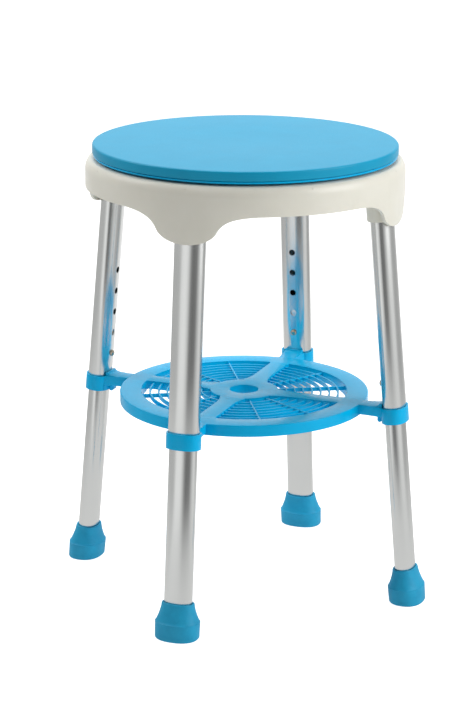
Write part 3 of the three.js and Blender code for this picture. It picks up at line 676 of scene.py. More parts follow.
# %% Sockets, hub and ribs
SOCKET_WALL = 3 * MM
SOCKET_MOUTH = 444 * MM
RIB_THICKNESS = 3 * MM
RIB_DEPTH = 12 * MM
GLIDE_RADIUS = 115 * MM
GLIDE_HALF_WIDTH = 5 * MM
GLIDE_GROOVE = 2 * MM
HUB_WALL = 3.5 * MM
HUB_LOW = 476 * MM
SCREW_RADIUS = 2.1 * MM
SCREW_DROP = 27 * MM
SCREW_ROOM = 30 * MM
TUBE_COVER = 9.5 * MM  # a tube's top end below the deck's top
SOCKET_ROUND = 0.6 * MM
RIB_ROUND = 0.5 * MM
BUSH_RADIUS = 9 * MM
BUSH_FLANGE = 2 * MM
HOOP_SIDES = 128

hub_radius = BOSS_RADIUS + FIT + HUB_WALL
bush_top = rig.box("pivot_bush")[1].z
rib_bottom = deck_bottom - RIB_DEPTH
half_rib = RIB_THICKNESS / 2
tube_bore = grown(UPPER_TUBE, FIT)
tube_end = along(frame_high.z - TUBE_COVER)
screw_at = along(frame_high.z - SCREW_DROP)
lying_inward = Matrix.Rotation(-math.pi / 2, 4, "Y")


def socket():
    outside = grown(tube_bore, SOCKET_WALL)
    shape = oval_bar("socket", outside, along(SOCKET_MOUTH), along(deck_bottom) + MM)
    return softened(shape, SOCKET_ROUND)


def socket_bore():
    return oval_bar("socket_bore", tube_bore, along(frame_low.z) - 9 * MM, tube_end + FIT)


def rib():
    low = (hub_radius - MM, -half_rib, rib_bottom)
    shape = block("rib", low, (FRAME_RADIUS - 2 * MM, half_rib, deck_bottom + MM))
    return softened(shape, RIB_ROUND)


def screw_bore():
    shape = drum("screw_bore", SCREW_RADIUS + FIT, 0, SCREW_ROOM, 24)
    return placed(shape, Matrix.Translation((0, 0, screw_at)) @ lying_inward)


def between_legs(leg):
    return Matrix.Rotation(math.pi / 4, 4, "Z") @ facing(leg)


def square_ring(name, half_width, low, high):
    """A ring of square section on the glide ring's circle."""
    inner, outer = GLIDE_RADIUS - half_width, GLIDE_RADIUS + half_width
    return turned(name, [(inner, low), (outer, low), (outer, high), (inner, high)], HOOP_SIDES)


hub = softened(drum("hub", hub_radius, HUB_LOW, deck_bottom + MM), SOCKET_ROUND)
hoop = softened(square_ring("hoop", half_rib, rib_bottom, deck_bottom + MM), RIB_ROUND)
joined(seat_frame, *at_legs(socket), hub, hoop, *at_legs(rib, facing), *at_legs(rib, between_legs))

groove_low, groove_high = frame_high.z - GLIDE_GROOVE, frame_high.z + MM
groove = square_ring("groove", GLIDE_HALF_WIDTH + FIT, groove_low, groove_high)
hub_recess = bush_top - BUSH_FLANGE
cut(seat_frame, *at_legs(socket_bore), *at_legs(screw_bore), groove,
    drum("boss_room", BOSS_RADIUS + FIT, hub_recess, frame_high.z + MM),
    drum("bush_bore", BUSH_RADIUS + FIT, HUB_LOW - MM, hub_recess + MM))
smoothed(seat_frame)
print("seat frame", corners(seat_frame), "corners")

# %% [markdown]
# ## Clamp collars
#
# A collar is an oval ring that clasps most of a leg's tube; the part it leaves open is the saddle at
# the end of the tray's arm. Both come from one oval sleeve: a bar with the tube's room cut out of it
# and its edges rounded, trimmed to one side of the seam. The room is wide for the upper tube, and
# narrow below the lip on which that tube's end stands.

# %% Collar
COLLAR_WALL = 1.8 * MM
COLLAR_LIP = 2 * MM
COLLAR_EDGE = 0.6 * MM
SEAM = 0.3 * MM
SEAM_INSET = 11.4 * MM  # from the leg's axis towards the stool's middle
FAR = 60 * MM
PAST = 20 * MM  # how far a cutting shape runs past what it cuts

COLLAR_TOP = 230.5 * MM
COLLAR_BOTTOM = 213 * MM
sleeve = grown(UPPER_TUBE, FIT + COLLAR_WALL)
sleeve_low = along(COLLAR_BOTTOM)
sleeve_high = along(COLLAR_TOP)


def tube_room():
    narrow = oval_bar("tube_room", grown(LOWER_TUBE, FIT), sleeve_low - PAST, sleeve_high)
    wide = oval_bar("wide_room", grown(UPPER_TUBE, FIT), sleeve_low + COLLAR_LIP, sleeve_high + PAST)
    return joined(narrow, wide)


def collar_sleeve(name):
    bar = oval_bar(name, sleeve, sleeve_low, sleeve_high)
    return softened(cut(bar, tube_room()), COLLAR_EDGE, 3, 60)


def tray_side(spare=0.0):
    """Everything on the tray's side of the seam."""
    seam = spare - SEAM_INSET - SEAM / 2
    return block("tray_side", (-FAR, -FAR, sleeve_low - PAST), (seam, FAR, sleeve_high + PAST))


def leg_side():
    """Everything on the leg's side of the seam."""
    low = (-SEAM_INSET - SEAM / 2, -FAR, sleeve_low - PAST)
    return block("leg_side", low, (FAR, FAR, sleeve_high + PAST))


collar = smoothed(cut(collar_sleeve("clamp_collar"), tray_side(SEAM)))
collars = one_per_leg(collar, "clamp_collar_moulding")
print("clamp collars", corners(collars[0]), "corners each")

# %% [markdown]
# ## Tray: rim, hub and slats
#
# The tray is one blue moulding that lets water through. Its rim and hub are hollow underneath, so
# they are spun as channels. Seven thin rings stand between them a little below the top, crossed by
# thin struts. All of these are round about the stool's middle or are plain bars, so they are spun
# and boxed, softened and joined.

# %% Rim, hub and slats
TRAY_RADIUS = 143 * MM
TRAY_TOP = 230 * MM
TRAY_BOTTOM = 217 * MM
TRAY_PLATE = 2.5 * MM
RIM_WIDTH = 24.5 * MM
HUB_OUTER = 39 * MM
HUB_HOLE = 16.5 * MM
SLATS = 7
SLAT_HALF = 0.9 * MM
SLAT_DROP = 1.5 * MM
STRUT_STEP_DEG = 30
SLAT_DEPTH = 4.7 * MM
SLAT_ROUND = 0.3 * MM

rim_inner = TRAY_RADIUS - RIM_WIDTH
slat_top = TRAY_TOP - SLAT_DROP
slat_bottom = slat_top - SLAT_DEPTH


def channel(name, inner, outer, outer_round, inner_round):
    """A ring that is hollow underneath, with its upper edges rounded."""
    return turned(name, [
        (inner, TRAY_BOTTOM),
        (inner + TRAY_PLATE, TRAY_BOTTOM),
        (inner + TRAY_PLATE, TRAY_TOP - TRAY_PLATE),
        (outer - TRAY_PLATE, TRAY_TOP - TRAY_PLATE),
        (outer - TRAY_PLATE, TRAY_BOTTOM),
        (outer - 0.3 * MM, TRAY_BOTTOM),
        (outer, TRAY_BOTTOM + 0.4 * MM),
        *arc((outer - outer_round, TRAY_TOP - outer_round), (outer_round,) * 2, 0, 90, 5),
        *arc((inner + inner_round, TRAY_TOP - inner_round), (inner_round,) * 2, 90, 180, 3),
    ])


tray = channel("tray_moulding", rim_inner, TRAY_RADIUS, 1.2 * MM, 0.5 * MM)
tray_hub = channel("tray_hub", HUB_HOLE, HUB_OUTER, 0.5 * MM, 0.8 * MM)
pitch = (rim_inner - HUB_OUTER) / (SLATS + 1)


def slat(number):
    middle = HUB_OUTER + pitch * number
    top = slat_top - SLAT_ROUND
    return turned(f"slat_{number}", [
        (middle - SLAT_HALF, slat_bottom),
        (middle + SLAT_HALF, slat_bottom),
        (middle + SLAT_HALF, top),
        (middle + SLAT_HALF - SLAT_ROUND, slat_top),
        (middle - SLAT_HALF + SLAT_ROUND, slat_top),
        (middle - SLAT_HALF, top),
    ], 144)


def strut():
    low = (HUB_OUTER - TRAY_PLATE / 2, -SLAT_HALF, slat_bottom)
    high = (rim_inner + TRAY_PLATE / 2, SLAT_HALF, slat_top)
    return softened(block("strut", low, high), SLAT_ROUND, 1)


def turned_by(degrees):
    return lambda leg: Matrix.Rotation(math.radians(degrees), 4, "Z") @ facing(leg)


struts = at_legs(strut, turned_by(STRUT_STEP_DEG)) + at_legs(strut, turned_by(2 * STRUT_STEP_DEG))
print("slat spacing", round(pitch * 1000, 2), "mm")

# %% [markdown]
# ## Tray: spokes, arms and saddles
#
# Four flat spokes run from the hub to the rim, flared at both ends, and four arms go on from the rim
# to the legs, where they widen a little into the saddles that meet the tubes. Their outlines are
# drawn from above and pulled down. The hollow under each is the same outline drawn smaller. Each arm
# also has a low ridge behind its tube, and a round-ended lug below that catches the collar.

# %% Spokes, arms and saddles
SPOKE_HALF = 10.3 * MM
SPOKE_FLARE = 5 * MM
SPOKE_DEPTH = 10 * MM
SPOKE_BLEND = 24 * MM
SPOKE_END_BLEND = 9 * MM
ARM_DEPTH = 11.5 * MM
ARM_HALF = 10 * MM
ARM_END_HALF = 13 * MM
ARM_END_BLEND = 6 * MM
ARM_BLOCK = 12 * MM  # solid end of an arm
RIDGE_INSET = 15 * MM  # inwards from the leg's axis, as the catch's place below
RIDGE_HALF = 11 * MM
RIDGE_RISE = 4 * MM
RIDGE_RAMP = 14 * MM
CATCH_INSET = 16 * MM
CATCH_RADIUS = 2.5 * MM
CATCH_HALF = 5 * MM
CATCH_DROP = 8 * MM
SPOKE_ROUND = 0.5 * MM
ARM_ROUND = 0.7 * MM
CATCH_ROUND = 0.4 * MM
leg_at_tray = axis_radius(TRAY_TOP)
arm_tip = leg_at_tray - SEAM_INSET
arm_bottom = TRAY_TOP - ARM_DEPTH


def mirrored(half_outline):
    """A closed outline from its half at positive Y."""
    return half_outline + [(x, -y) for x, y in reversed(half_outline)]


def slab(name, half_outline, low, high):
    outline = [(x, y, low) for x, y in mirrored(half_outline)]
    return plate(name, outline, (0, 0, high - low))


def spoke_outline(inset=0.0):
    inner = HUB_OUTER - TRAY_PLATE
    outer = rim_inner + TRAY_PLATE / 2
    half = SPOKE_HALF - inset
    wide = half + SPOKE_FLARE
    start, end = inner + SPOKE_BLEND, outer - SPOKE_END_BLEND
    line = [(inner, wide)] + curve([(inner, wide), (inner + SPOKE_BLEND / 2, half), (start, half)], 10)
    return line + [(end, half)] + curve([(end, half), (outer - MM, half), (outer, wide)], 8)


def arm_outline(end, narrow, wide):
    start = TRAY_RADIUS - TRAY_PLATE / 2
    sweep = curve([(start, narrow), ((start + end) / 2, narrow), (end - ARM_END_BLEND, wide)], 10)
    return [(start, narrow)] + sweep + [(end, wide)]


def spoke():
    beam = slab("spoke", spoke_outline(), TRAY_TOP - SPOKE_DEPTH, TRAY_TOP)
    return softened(beam, SPOKE_ROUND, 2, 60)


def spoke_hollow():
    return slab("spoke_hollow", spoke_outline(TRAY_PLATE), TRAY_BOTTOM - MM, TRAY_TOP - TRAY_PLATE)


def arm():
    outline = arm_outline(arm_tip + ARM_END_BLEND, ARM_HALF, ARM_END_HALF)
    return softened(slab("arm", outline, arm_bottom, TRAY_TOP), ARM_ROUND, 3, 60)


def arm_hollow():
    half = ARM_HALF - TRAY_PLATE
    outline = arm_outline(arm_tip - ARM_BLOCK, half, half)
    return slab("arm_hollow", outline, arm_bottom - MM, TRAY_TOP - TRAY_PLATE)


def ridge():
    """The low wall behind a tube, with a ramp down to the arm's top."""
    crest, top = leg_at_tray - RIDGE_INSET, TRAY_TOP + RIDGE_RISE
    ramp = curve([(crest, top), (crest, TRAY_TOP), (crest - RIDGE_RAMP, TRAY_TOP)], 10)
    wall_top = [(arm_tip, TRAY_TOP - MM), (arm_tip, top), (crest, top)]
    outline = [*wall_top, *ramp, (crest - RIDGE_RAMP, TRAY_TOP - MM)]
    wall = plate("ridge", [(x, -RIDGE_HALF, z) for x, z in outline], (0, 2 * RIDGE_HALF, 0))
    return softened(wall, ARM_ROUND, 3, 60)


def catch():
    place, low = leg_at_tray - CATCH_INSET, arm_bottom - CATCH_DROP + CATCH_RADIUS
    strap_low = (place - CATCH_RADIUS, -CATCH_HALF, low)
    strap = block("catch", strap_low, (place + CATCH_RADIUS, CATCH_HALF, arm_bottom + MM))
    tip = drum("tip", CATCH_RADIUS, -CATCH_HALF, CATCH_HALF, 32)
    across = Matrix.Translation((place, 0, low)) @ Matrix.Rotation(-math.pi / 2, 4, "X")
    return softened(joined(strap, placed(tip, across)), CATCH_ROUND, 2, 60)


def saddle():
    return combined(collar_sleeve("saddle"), tray_side(), "INTERSECT")


joined(tray, tray_hub, *[slat(number) for number in range(1, SLATS + 1)], *struts)
joined(tray, *at_legs(spoke, facing), *at_legs(arm, facing))
cut(tray, *at_legs(spoke_hollow, facing), *at_legs(arm_hollow, facing))
joined(tray, *at_legs(ridge, facing), *at_legs(catch, facing))
cut(tray, *at_legs(leg_side), *at_legs(tube_room))
joined(tray, *at_legs(saddle))
smoothed(tray)
print("tray", corners(tray), "corners")

# %% [markdown]
# ## Leg tubes
#
# Each leg is a wide tube fixed in the seat frame and a narrow one that slides inside it. The wide
# tube has a row of holes on the side that faces the stool's middle, an inch apart, which set the
# height; the narrow one has a single hole for the snap button. The walls are real, so the holes show
# the dark inside of the tube.

# %% Tubes
HOLE_PITCH = 25.4 * MM
HOLES = 5
BUTTON_HEIGHT = 256.6 * MM
HOLE_RADIUS = 3.75 * MM
LOWER_START = 7.6 * MM
LOWER_OVERLAP = 38 * MM
TUBE_END_ROUND = 0.2 * MM

button_at = along(BUTTON_HEIGHT)


def hole(at, radius=HOLE_RADIUS):
    shape = drum("hole", radius, UPPER_TUBE.x / 2, UPPER_TUBE.x + MM, 32)
    return placed(shape, Matrix.Translation((0, 0, at)) @ lying_inward)


upper = oval_tube("upper_tube", UPPER_TUBE, sleeve_low + COLLAR_LIP + FIT, tube_end)
softened(upper, TUBE_END_ROUND, 2, 60)
height_holes = [hole(button_at + HOLE_PITCH * i) for i in range(HOLES)]
cut(upper, *height_holes, hole(screw_at, SCREW_RADIUS + FIT))
lower = oval_tube("lower_tube", LOWER_TUBE, LOWER_START, button_at + LOWER_OVERLAP)
softened(lower, TUBE_END_ROUND, 2, 60)
cut(lower, hole(button_at))

upper_tubes, lower_tubes = [], []
for leg in LEGS:
    upper_tubes.append(copied(smoothed(upper), f"upper_leg_tube_{leg}", leg_place(leg)))
    lower_tubes.append(copied(smoothed(lower), f"lower_leg_tube_{leg}", leg_place(leg)))
for pattern in (upper, lower):
    bpy.data.objects.remove(pattern)
print("upper tube", corners(upper_tubes[0]), "corners, lower tube", corners(lower_tubes[0]))

# %% [markdown]
# ## Feet
#
# A foot is a thick rubber ferrule: square to the leg at its rim, but level on the floor, because the
# leg leans. It is grown like a chimney from one oval face. Each step extrudes the top face and scales it
# to the next width. Rings are then inset into the sole as its tread. Afterwards every corner is turned
# back by a share of the lean, so the lean is taken up from sole to rim, and the bore for the tube is cut.

# %% Foot
FOOT_HEIGHT = 40 * MM
FOOT_FLOOR = 5 * MM
FOOT_SPREAD = 9.9 * MM
RIDGE_AT = 0.47
RIDGE_STEP = 0.5 * MM
RIM_WALL = 3 * MM
SOLE_ROUND = 1.6 * MM
RIM_ROUND = 1.3 * MM
TREAD_RINGS = 3
TREAD_BAND = 3 * MM
TREAD_GROOVE = 1.4 * MM
TREAD_DEPTH = 1.2 * MM
TREAD_FLANK = 0.3 * MM
SKIRT_TAPER = 0.4 * MM
HOLLOW_POWER = 1.6
FOOT_BORE_ROUND = 0.4 * MM
FLAT_ON = 0.9  # how much of a face's normal must be upright for it to count as level

ridge = RIDGE_AT * FOOT_HEIGHT


def foot_growth(height):
    """How far the foot stands outside the tube's oval at a height up the leg."""
    if height <= ridge:
        growth = FOOT_SPREAD - SKIRT_TAPER * (1 - height / ridge)
    else:
        rise = (height - ridge) / (FOOT_HEIGHT - ridge)
        growth = RIM_WALL + (FOOT_SPREAD - RIDGE_STEP - RIM_WALL) * (1 - rise) ** HOLLOW_POWER
    sole = max(0, 1 - height / SOLE_ROUND)
    rim = max(0, 1 - (FOOT_HEIGHT - height) / RIM_ROUND)
    growth -= SOLE_ROUND * (1 - math.sqrt(1 - sole ** 2))
    return growth - RIM_ROUND * (1 - math.sqrt(1 - rim ** 2))


foot_levels = [0.15 * MM, 0.5 * MM, 1.2 * MM, SOLE_ROUND, 8 * MM, 15 * MM, ridge - 0.9 * MM]
hollow_start = ridge + RIDGE_STEP
hollow_rise = FOOT_HEIGHT - RIM_ROUND - ridge - RIDGE_STEP
foot_levels += [ridge - 0.2 * MM, ridge, hollow_start]
foot_levels += [hollow_start + hollow_rise * i / 10 for i in range(1, 11)]
foot_levels += [FOOT_HEIGHT - 0.8 * MM, FOOT_HEIGHT - 0.35 * MM, FOOT_HEIGHT - 0.1 * MM, FOOT_HEIGHT]

foot = oval_bar("foot", grown(LOWER_TUBE, foot_growth(0)), 0, foot_levels[0])
pick_out(foot)
bpy.ops.object.mode_set(mode="EDIT")
bpy.ops.mesh.select_mode(type="FACE")


def select_faces(piece, wanted):
    """In edit mode, selects the faces whose middle and normal pass a test."""
    mesh = bmesh.from_edit_mesh(piece.data)
    for face in mesh.faces:
        face.select_set(wanted(face.calc_center_median(), face.normal))
    mesh.select_flush_mode()
    bmesh.update_edit_mesh(piece.data)


select_faces(foot, lambda middle, normal: normal.z > FLAT_ON)
for here, there in zip(foot_levels, foot_levels[1:]):
    before, after = (grown(LOWER_TUBE, foot_growth(level)) for level in (here, there))
    bpy.ops.mesh.extrude_region_move(TRANSFORM_OT_translate={"value": (0, 0, there - here)})
    widening = (after.x / before.x, after.y / before.y, 1)
    bpy.ops.transform.resize(value=widening, center_override=(0, 0, there))
select_faces(foot, lambda middle, normal: normal.z < -FLAT_ON)
for _ in range(TREAD_RINGS):
    bpy.ops.mesh.inset(thickness=TREAD_BAND)
    bpy.ops.mesh.inset(thickness=TREAD_FLANK, depth=-TREAD_DEPTH)
    bpy.ops.mesh.inset(thickness=TREAD_GROOVE)
    bpy.ops.mesh.inset(thickness=TREAD_FLANK, depth=TREAD_DEPTH)
bpy.ops.object.mode_set(mode="OBJECT")
for corner in foot.data.vertices:
    lean_back = Matrix.Rotation(LEAN * (1 - min(1, max(0, corner.co.z) / FOOT_HEIGHT)), 3, "Y")
    flat = Vector((corner.co.x, corner.co.y, min(0, corner.co.z)))
    corner.co = lean_back @ flat + Vector((0, 0, corner.co.z - flat.z))
cut(foot, oval_bar("foot_bore", grown(LOWER_TUBE, FIT), FOOT_FLOOR, FOOT_HEIGHT + MM))
softened(foot, FOOT_BORE_ROUND, 2, 65)
smoothed(foot, 40)
feet = one_per_leg(foot, "rubber_foot")
lowest = min(v.co.z for v in feet[0].data.vertices)
print("feet", corners(feet[0]), "corners each, down to z", round(lowest, 5))

# %% [markdown]
# ## Snap buttons
#
# A sprung steel button locks each leg at its height. Its domed head comes out through both tubes, and
# a flange inside keeps it from falling out. It is a lathe-turned part, so its outline is spun, and the
# finished shape is laid on its side, pointing at the stool's middle.

# %% Snap buttons
BUTTON_RADIUS = 3.5 * MM
BUTTON_PROUD = 3.1 * MM
BUTTON_DOME = 1.7 * MM
FLANGE_RADIUS = 4.8 * MM
DOME_WIDTH = 2.4 * MM
FLANGE_STANDOFF = 1.6 * MM

button_front = UPPER_TUBE.x + BUTTON_PROUD
button_back = LOWER_TUBE.x - TUBE_WALL - FLANGE_STANDOFF
button = turned("snap_button", [
    (0, button_back),
    (FLANGE_RADIUS, button_back),
    (FLANGE_RADIUS, button_back + MM),
    (BUTTON_RADIUS, button_back + MM),
    *arc((BUTTON_RADIUS - DOME_WIDTH, button_front - BUTTON_DOME), (DOME_WIDTH, BUTTON_DOME), 0, 90, 8),
    (0, button_front),
], 48)
placed(smoothed(button), Matrix.Translation((0, 0, button_at)) @ lying_inward)
buttons = one_per_leg(button, "snap_button_head")
print("snap buttons", corners(buttons[0]), "corners each")

# %% [markdown]
# ## Studio: colours and nodes
#
# Colours are picked on a screen as sRGB hex values, but Blender's nodes work in linear light, so one
# function converts them all. A second one adds a node with its settings and its links in one call,
# which keeps each finish below short enough to read as a recipe.

# %% Colour and node helpers
bpy.context.scene.view_settings.view_transform = "Standard"


def linear(hex_colour):
    """An sRGB hex colour as the linear values that Blender's nodes work in."""
    shares = [int(hex_colour[i:i + 2], 16) / 255 for i in (1, 3, 5)]
    return [s / 12.92 if s <= 0.04045 else ((s + 0.055) / 1.055) ** 2.4 for s in shares] + [1]


def add(tree, kind, settings=(), links=()):
    """Adds a shader node, sets its sockets or options, and links other nodes' outputs into it."""
    node = tree.nodes.new("ShaderNode" + kind)
    for key, value in dict(settings).items():
        if isinstance(key, int) or key in node.inputs:
            node.inputs[key].default_value = value
        else:
            setattr(node, key, value)
    for key, source in dict(links).items():
        tree.links.new(source, node.inputs[key])
    return node


def empty_material(name):
    material = bpy.data.materials.new(name)
    material.use_nodes = True
    material.node_tree.nodes.clear()
    return material


print("white paper in linear light:", [round(v, 3) for v in linear("#f4f4f4")])

# %% [markdown]
# ## Studio: light table, surroundings and softboxes
#
# The stool stands on a white light table: a pale floor that also glows, so shadows on it stay faint.
# Even white surroundings fill the shade. Three softboxes, at the right, behind and at the left, give
# the round parts their form. Satin tube and moulded plastic are only as lively as what they reflect,
# so a screen stands round the stool that only reflections see. It is bright behind the stool and
# darker on the near side, as a real studio is.

# %% Light table, surroundings and softboxes
MIDDLE = Vector((0, 0, 0.3))
SCREEN_RADIUS = 1.2
SCREEN_HEIGHT = 2.6
TABLE_GLOW = 0.95  # the table's own light, as the camera sees it
TABLE_FILL = 0.52  # and as it falls on the stool
FLOOR_LIGHT = 0.74
FLOOR_REACH = 0.1
FLOOR_SIZE = 40
WORLD_FILL = 0.25
# How bright the screen is, by the direction in degrees from +X, anticlockwise seen from above.
SCREEN_LIGHT = [
    (0, 0.42), (18, 0.44), (30, 1.0), (98, 1.0), (110, 0.50), (188, 0.52), (200, 0.94),
    (210, 0.94), (233, 0.17), (258, 0.19), (285, 0.52), (304, 0.74), (326, 0.76), (345, 0.44),
    (360, 0.42),
]


def only_reflected(piece):
    piece.visible_camera = piece.visible_diffuse = piece.visible_shadow = piece.visible_transmission = False
    return piece


def ground(name, height):
    bpy.ops.object.select_all(action="DESELECT")
    bpy.ops.mesh.primitive_plane_add(size=FLOOR_SIZE, location=(0, 0, height))
    piece = named(name)
    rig.stage(piece)
    return piece


floor = ground("studio_floor", 0)
floor.visible_glossy = False
table_top = empty_material("white_light_table")
tree = table_top.node_tree
matt = add(tree, "BsdfDiffuse", {"Color": linear("#b4b4b4")})
looked_at = add(tree, "LightPath").outputs["Is Camera Ray"]
strength = add(tree, "MapRange", {"To Min": TABLE_FILL, "To Max": TABLE_GLOW}, {0: looked_at})
glow = add(tree, "Emission", {"Color": (1, 1, 1, 1)}, {"Strength": strength.outputs[0]})
both = add(tree, "AddShader", links={0: matt.outputs[0], 1: glow.outputs[0]})
add(tree, "OutputMaterial", links={"Surface": both.outputs[0]})
floor.data.materials.append(table_top)

reflected_floor = only_reflected(ground("reflected_floor", -MM))
screen = only_reflected(drum("studio_screen", SCREEN_RADIUS, -MM, SCREEN_HEIGHT, 96))
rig.stage(screen)
pick_out(screen)
bpy.ops.object.mode_set(mode="EDIT")
bpy.ops.mesh.select_mode(type="FACE")
select_faces(screen, lambda middle, normal: abs(normal.z) > FLAT_ON)
bpy.ops.mesh.delete(type="FACE")
bpy.ops.object.mode_set(mode="OBJECT")

lit_room = empty_material("lit_studio_room")
tree = lit_room.node_tree
place = add(tree, "TexCoord").outputs["Object"]
part = add(tree, "SeparateXYZ", links={0: place})
turn = add(tree, "Math", {"operation": "ARCTAN2"}, {
    0: part.outputs["Y"], 1: part.outputs["X"]})
signed = add(tree, "Math", {"operation": "DIVIDE", 1: 2 * math.pi}, {0: turn.outputs[0]})
whole = add(tree, "Math", {"operation": "WRAP", 1: 1, 2: 0}, {0: signed.outputs[0]})
ramp = add(tree, "ValToRGB", links={0: whole.outputs[0]})
ramp.color_ramp.interpolation = "EASE"
stops = ramp.color_ramp.elements
while len(stops) > 1:
    stops.remove(stops[-1])
for number, (degrees, light) in enumerate(SCREEN_LIGHT):
    stop = stops[0] if number == 0 else stops.new(degrees / 360)
    stop.position = degrees / 360
    stop.color = (light, light, light, 1)
level = add(tree, "VectorMath", {"operation": "MULTIPLY", 1: (1, 1, 0)}, {0: place})
away = add(tree, "VectorMath", {"operation": "LENGTH"}, {0: level.outputs[0]})
blend = add(tree, "MapRange", {
    "interpolation_type": "SMOOTHSTEP", "From Min": FLOOR_REACH, "From Max": SCREEN_RADIUS,
}, {0: away.outputs["Value"]})
tone = add(tree, "Mix", {"data_type": "RGBA", 6: (FLOOR_LIGHT, FLOOR_LIGHT, FLOOR_LIGHT, 1)},
           {0: blend.outputs[0], 7: ramp.outputs["Color"]})
glow = add(tree, "Emission", {"Strength": 1}, {"Color": tone.outputs[2]})
add(tree, "OutputMaterial", links={"Surface": glow.outputs[0]})
screen.data.materials.append(lit_room)
reflected_floor.data.materials.append(lit_room)

world = bpy.data.worlds.new("white_studio")
bpy.context.scene.world = world
world.use_nodes = True
world.node_tree.nodes.clear()
surroundings = add(world.node_tree, "Background", {"Color": (1, 1, 1, 1), "Strength": WORLD_FILL})
seen = add(world.node_tree, "Background", {"Color": (1, 1, 1, 1), "Strength": 1})
path = add(world.node_tree, "LightPath")
mixed = add(world.node_tree, "MixShader", links={
    0: path.outputs["Is Camera Ray"], 1: surroundings.outputs[0], 2: seen.outputs[0]})
add(world.node_tree, "OutputWorld", links={"Surface": mixed.outputs[0]})


def softbox(name, azimuth_deg, height, distance, size, power):
    """A square area light that looks at the stool; its direction is counted as the screen's."""
    light = bpy.data.lights.new(name, "AREA")
    light.size = size
    light.energy = power
    lamp = bpy.data.objects.new(name, light)
    bpy.context.scene.collection.objects.link(lamp)
    angle = math.radians(azimuth_deg)
    lamp.location = Vector((math.cos(angle) * distance, math.sin(angle) * distance, height))
    lamp.rotation_euler = (MIDDLE - lamp.location).to_track_quat("-Z", "Y").to_euler()
    return lamp


softbox("key_softbox", 316, 1.5, 2.4, 1.5, 46)
softbox("back_softbox", 70, 2.4, 1.0, 2.0, 48)
softbox("left_softbox", 140, 2.1, 1.9, 1.2, 26)
print("lights:", [o.name for o in bpy.context.scene.objects if o.type == "LIGHT"])

# %% [markdown]
# ## Moulded skins
#
# Foam, plastic and rubber all take their surface from a mould: a fine even grain, and a slow, faint
# unevenness in gloss and colour where the material flowed. An image texture would need unwrapping, so
# two noise patterns on the object's own coordinates are used, one the size of the grain and one the
# size of the flow. Each finish below only says its colours, its gloss and its grain.

# %% Moulded skin
GLOSS_CHANGE = 0.06  # across the grain
NOISE_SPAN = {"From Min": 0.3, "From Max": 0.7}  # where most of a noise's values lie


def moulded(name, colour, flow_colour, roughness, grain, relief, flow=40 * MM, **shader):
    material = empty_material(name)
    tree = material.node_tree
    place = add(tree, "TexCoord").outputs["Object"]
    slow = add(tree, "TexNoise", {
        "Scale": 1 / flow, "Detail": 3, "Roughness": 0.6}, {"Vector": place})
    fine = add(tree, "TexNoise", {
        "Scale": 1 / grain, "Detail": 2, "Roughness": 0.5}, {"Vector": place})
    blend = add(tree, "MapRange", NOISE_SPAN, {"Value": slow.outputs["Fac"]})
    colours = add(tree, "Mix", {
        "data_type": "RGBA", 6: linear(colour), 7: linear(flow_colour)}, {0: blend.outputs[0]})
    gloss = add(tree, "MapRange", {
        **NOISE_SPAN, "To Min": roughness - GLOSS_CHANGE / 2, "To Max": roughness + GLOSS_CHANGE / 2,
    }, {"Value": fine.outputs["Fac"]})
    bump = add(tree, "Bump", {
        "Distance": relief, "Strength": 1}, {"Height": fine.outputs["Fac"]})
    surface = add(tree, "BsdfPrincipled", shader, {
        "Base Color": colours.outputs[2], "Roughness": gloss.outputs[0], "Normal": bump.outputs[0]})
    add(tree, "OutputMaterial", links={"Surface": surface.outputs[0]})
    return material


print("moulded skin ready")

# %% [markdown]
# ## Foam, blue plastic, ivory plastic, rubber and acetal
#
# The pad is closed-cell EVA foam, whose moulded skin is satin with a fine pebble grain. The board,
# tray and collars are injection-moulded polypropylene: the same blue, but smoother and glossier. The
# seat frame is ivory polypropylene with a light spark-eroded texture. The feet are thermoplastic
# rubber, duller and greyer. The bush and the glide ring are white acetal, hard and a little waxy.

# %% The moulded finishes
# A pebbled foam skin scatters light, so the pad shows soft edges and a pale sheen at a low angle.
foam_skin = moulded("moulded_eva_foam", "#0097be", "#0092b9", 0.4, 1.1 * MM, 0.03 * MM,
                    **{"IOR": 1.5, "Specular IOR Level": 0.2})
# Polypropylene from a polished mould keeps clear, soft-edged highlights along its edges.
blue_skin = moulded("moulded_blue_polypropylene", "#00b0e4", "#00a9dd", 0.2, 1.5 * MM, 0.01 * MM,
                    **{"IOR": 1.49, "Specular IOR Level": 0.18})
# A spark-eroded mould leaves an even, fine grain that spreads the highlight over the shoulder.
ivory_skin = moulded("moulded_ivory_polypropylene", "#dddbd0", "#d9d7cb", 0.34, 0.9 * MM, 0.02 * MM,
                     **{"IOR": 1.49, "Specular IOR Level": 0.4, "Subsurface Weight": 0.05,
                        "Subsurface Radius": (0.004, 0.003, 0.002), "Subsurface Scale": 1.0})
# Rubber has almost no gloss, and handling leaves it faintly clouded.
rubber_skin = moulded("moulded_blue_rubber", "#0792bc", "#139ec8", 0.55, 1.3 * MM, 0.05 * MM, 14 * MM,
                      **{"IOR": 1.52, "Specular IOR Level": 0.3})
# Acetal is dense and waxy, so its white is even and its highlight small.
acetal_skin = moulded("moulded_white_acetal", "#efeee9", "#eae9e3", 0.3, 0.8 * MM, 0.008 * MM,
                      **{"IOR": 1.48})
skins = (foam_skin, blue_skin, ivory_skin, rubber_skin, acetal_skin)
print("moulded finishes:", *[skin.name for skin in skins])

# %% [markdown]
# ## Anodised aluminium tube
#
# The tubes are extruded through a die and satin anodised. The die leaves hair-fine lines along the
# tube, and anodising turns the metal's mirror into a soft grey glow. The lines have to follow the
# leaning leg, so a Mapping node in texture mode first brings each leg's coordinates upright, and a
# noise squeezed across and stretched along the tube draws them. Real lines are too fine to see from
# here, so they are drawn half a millimetre wide.

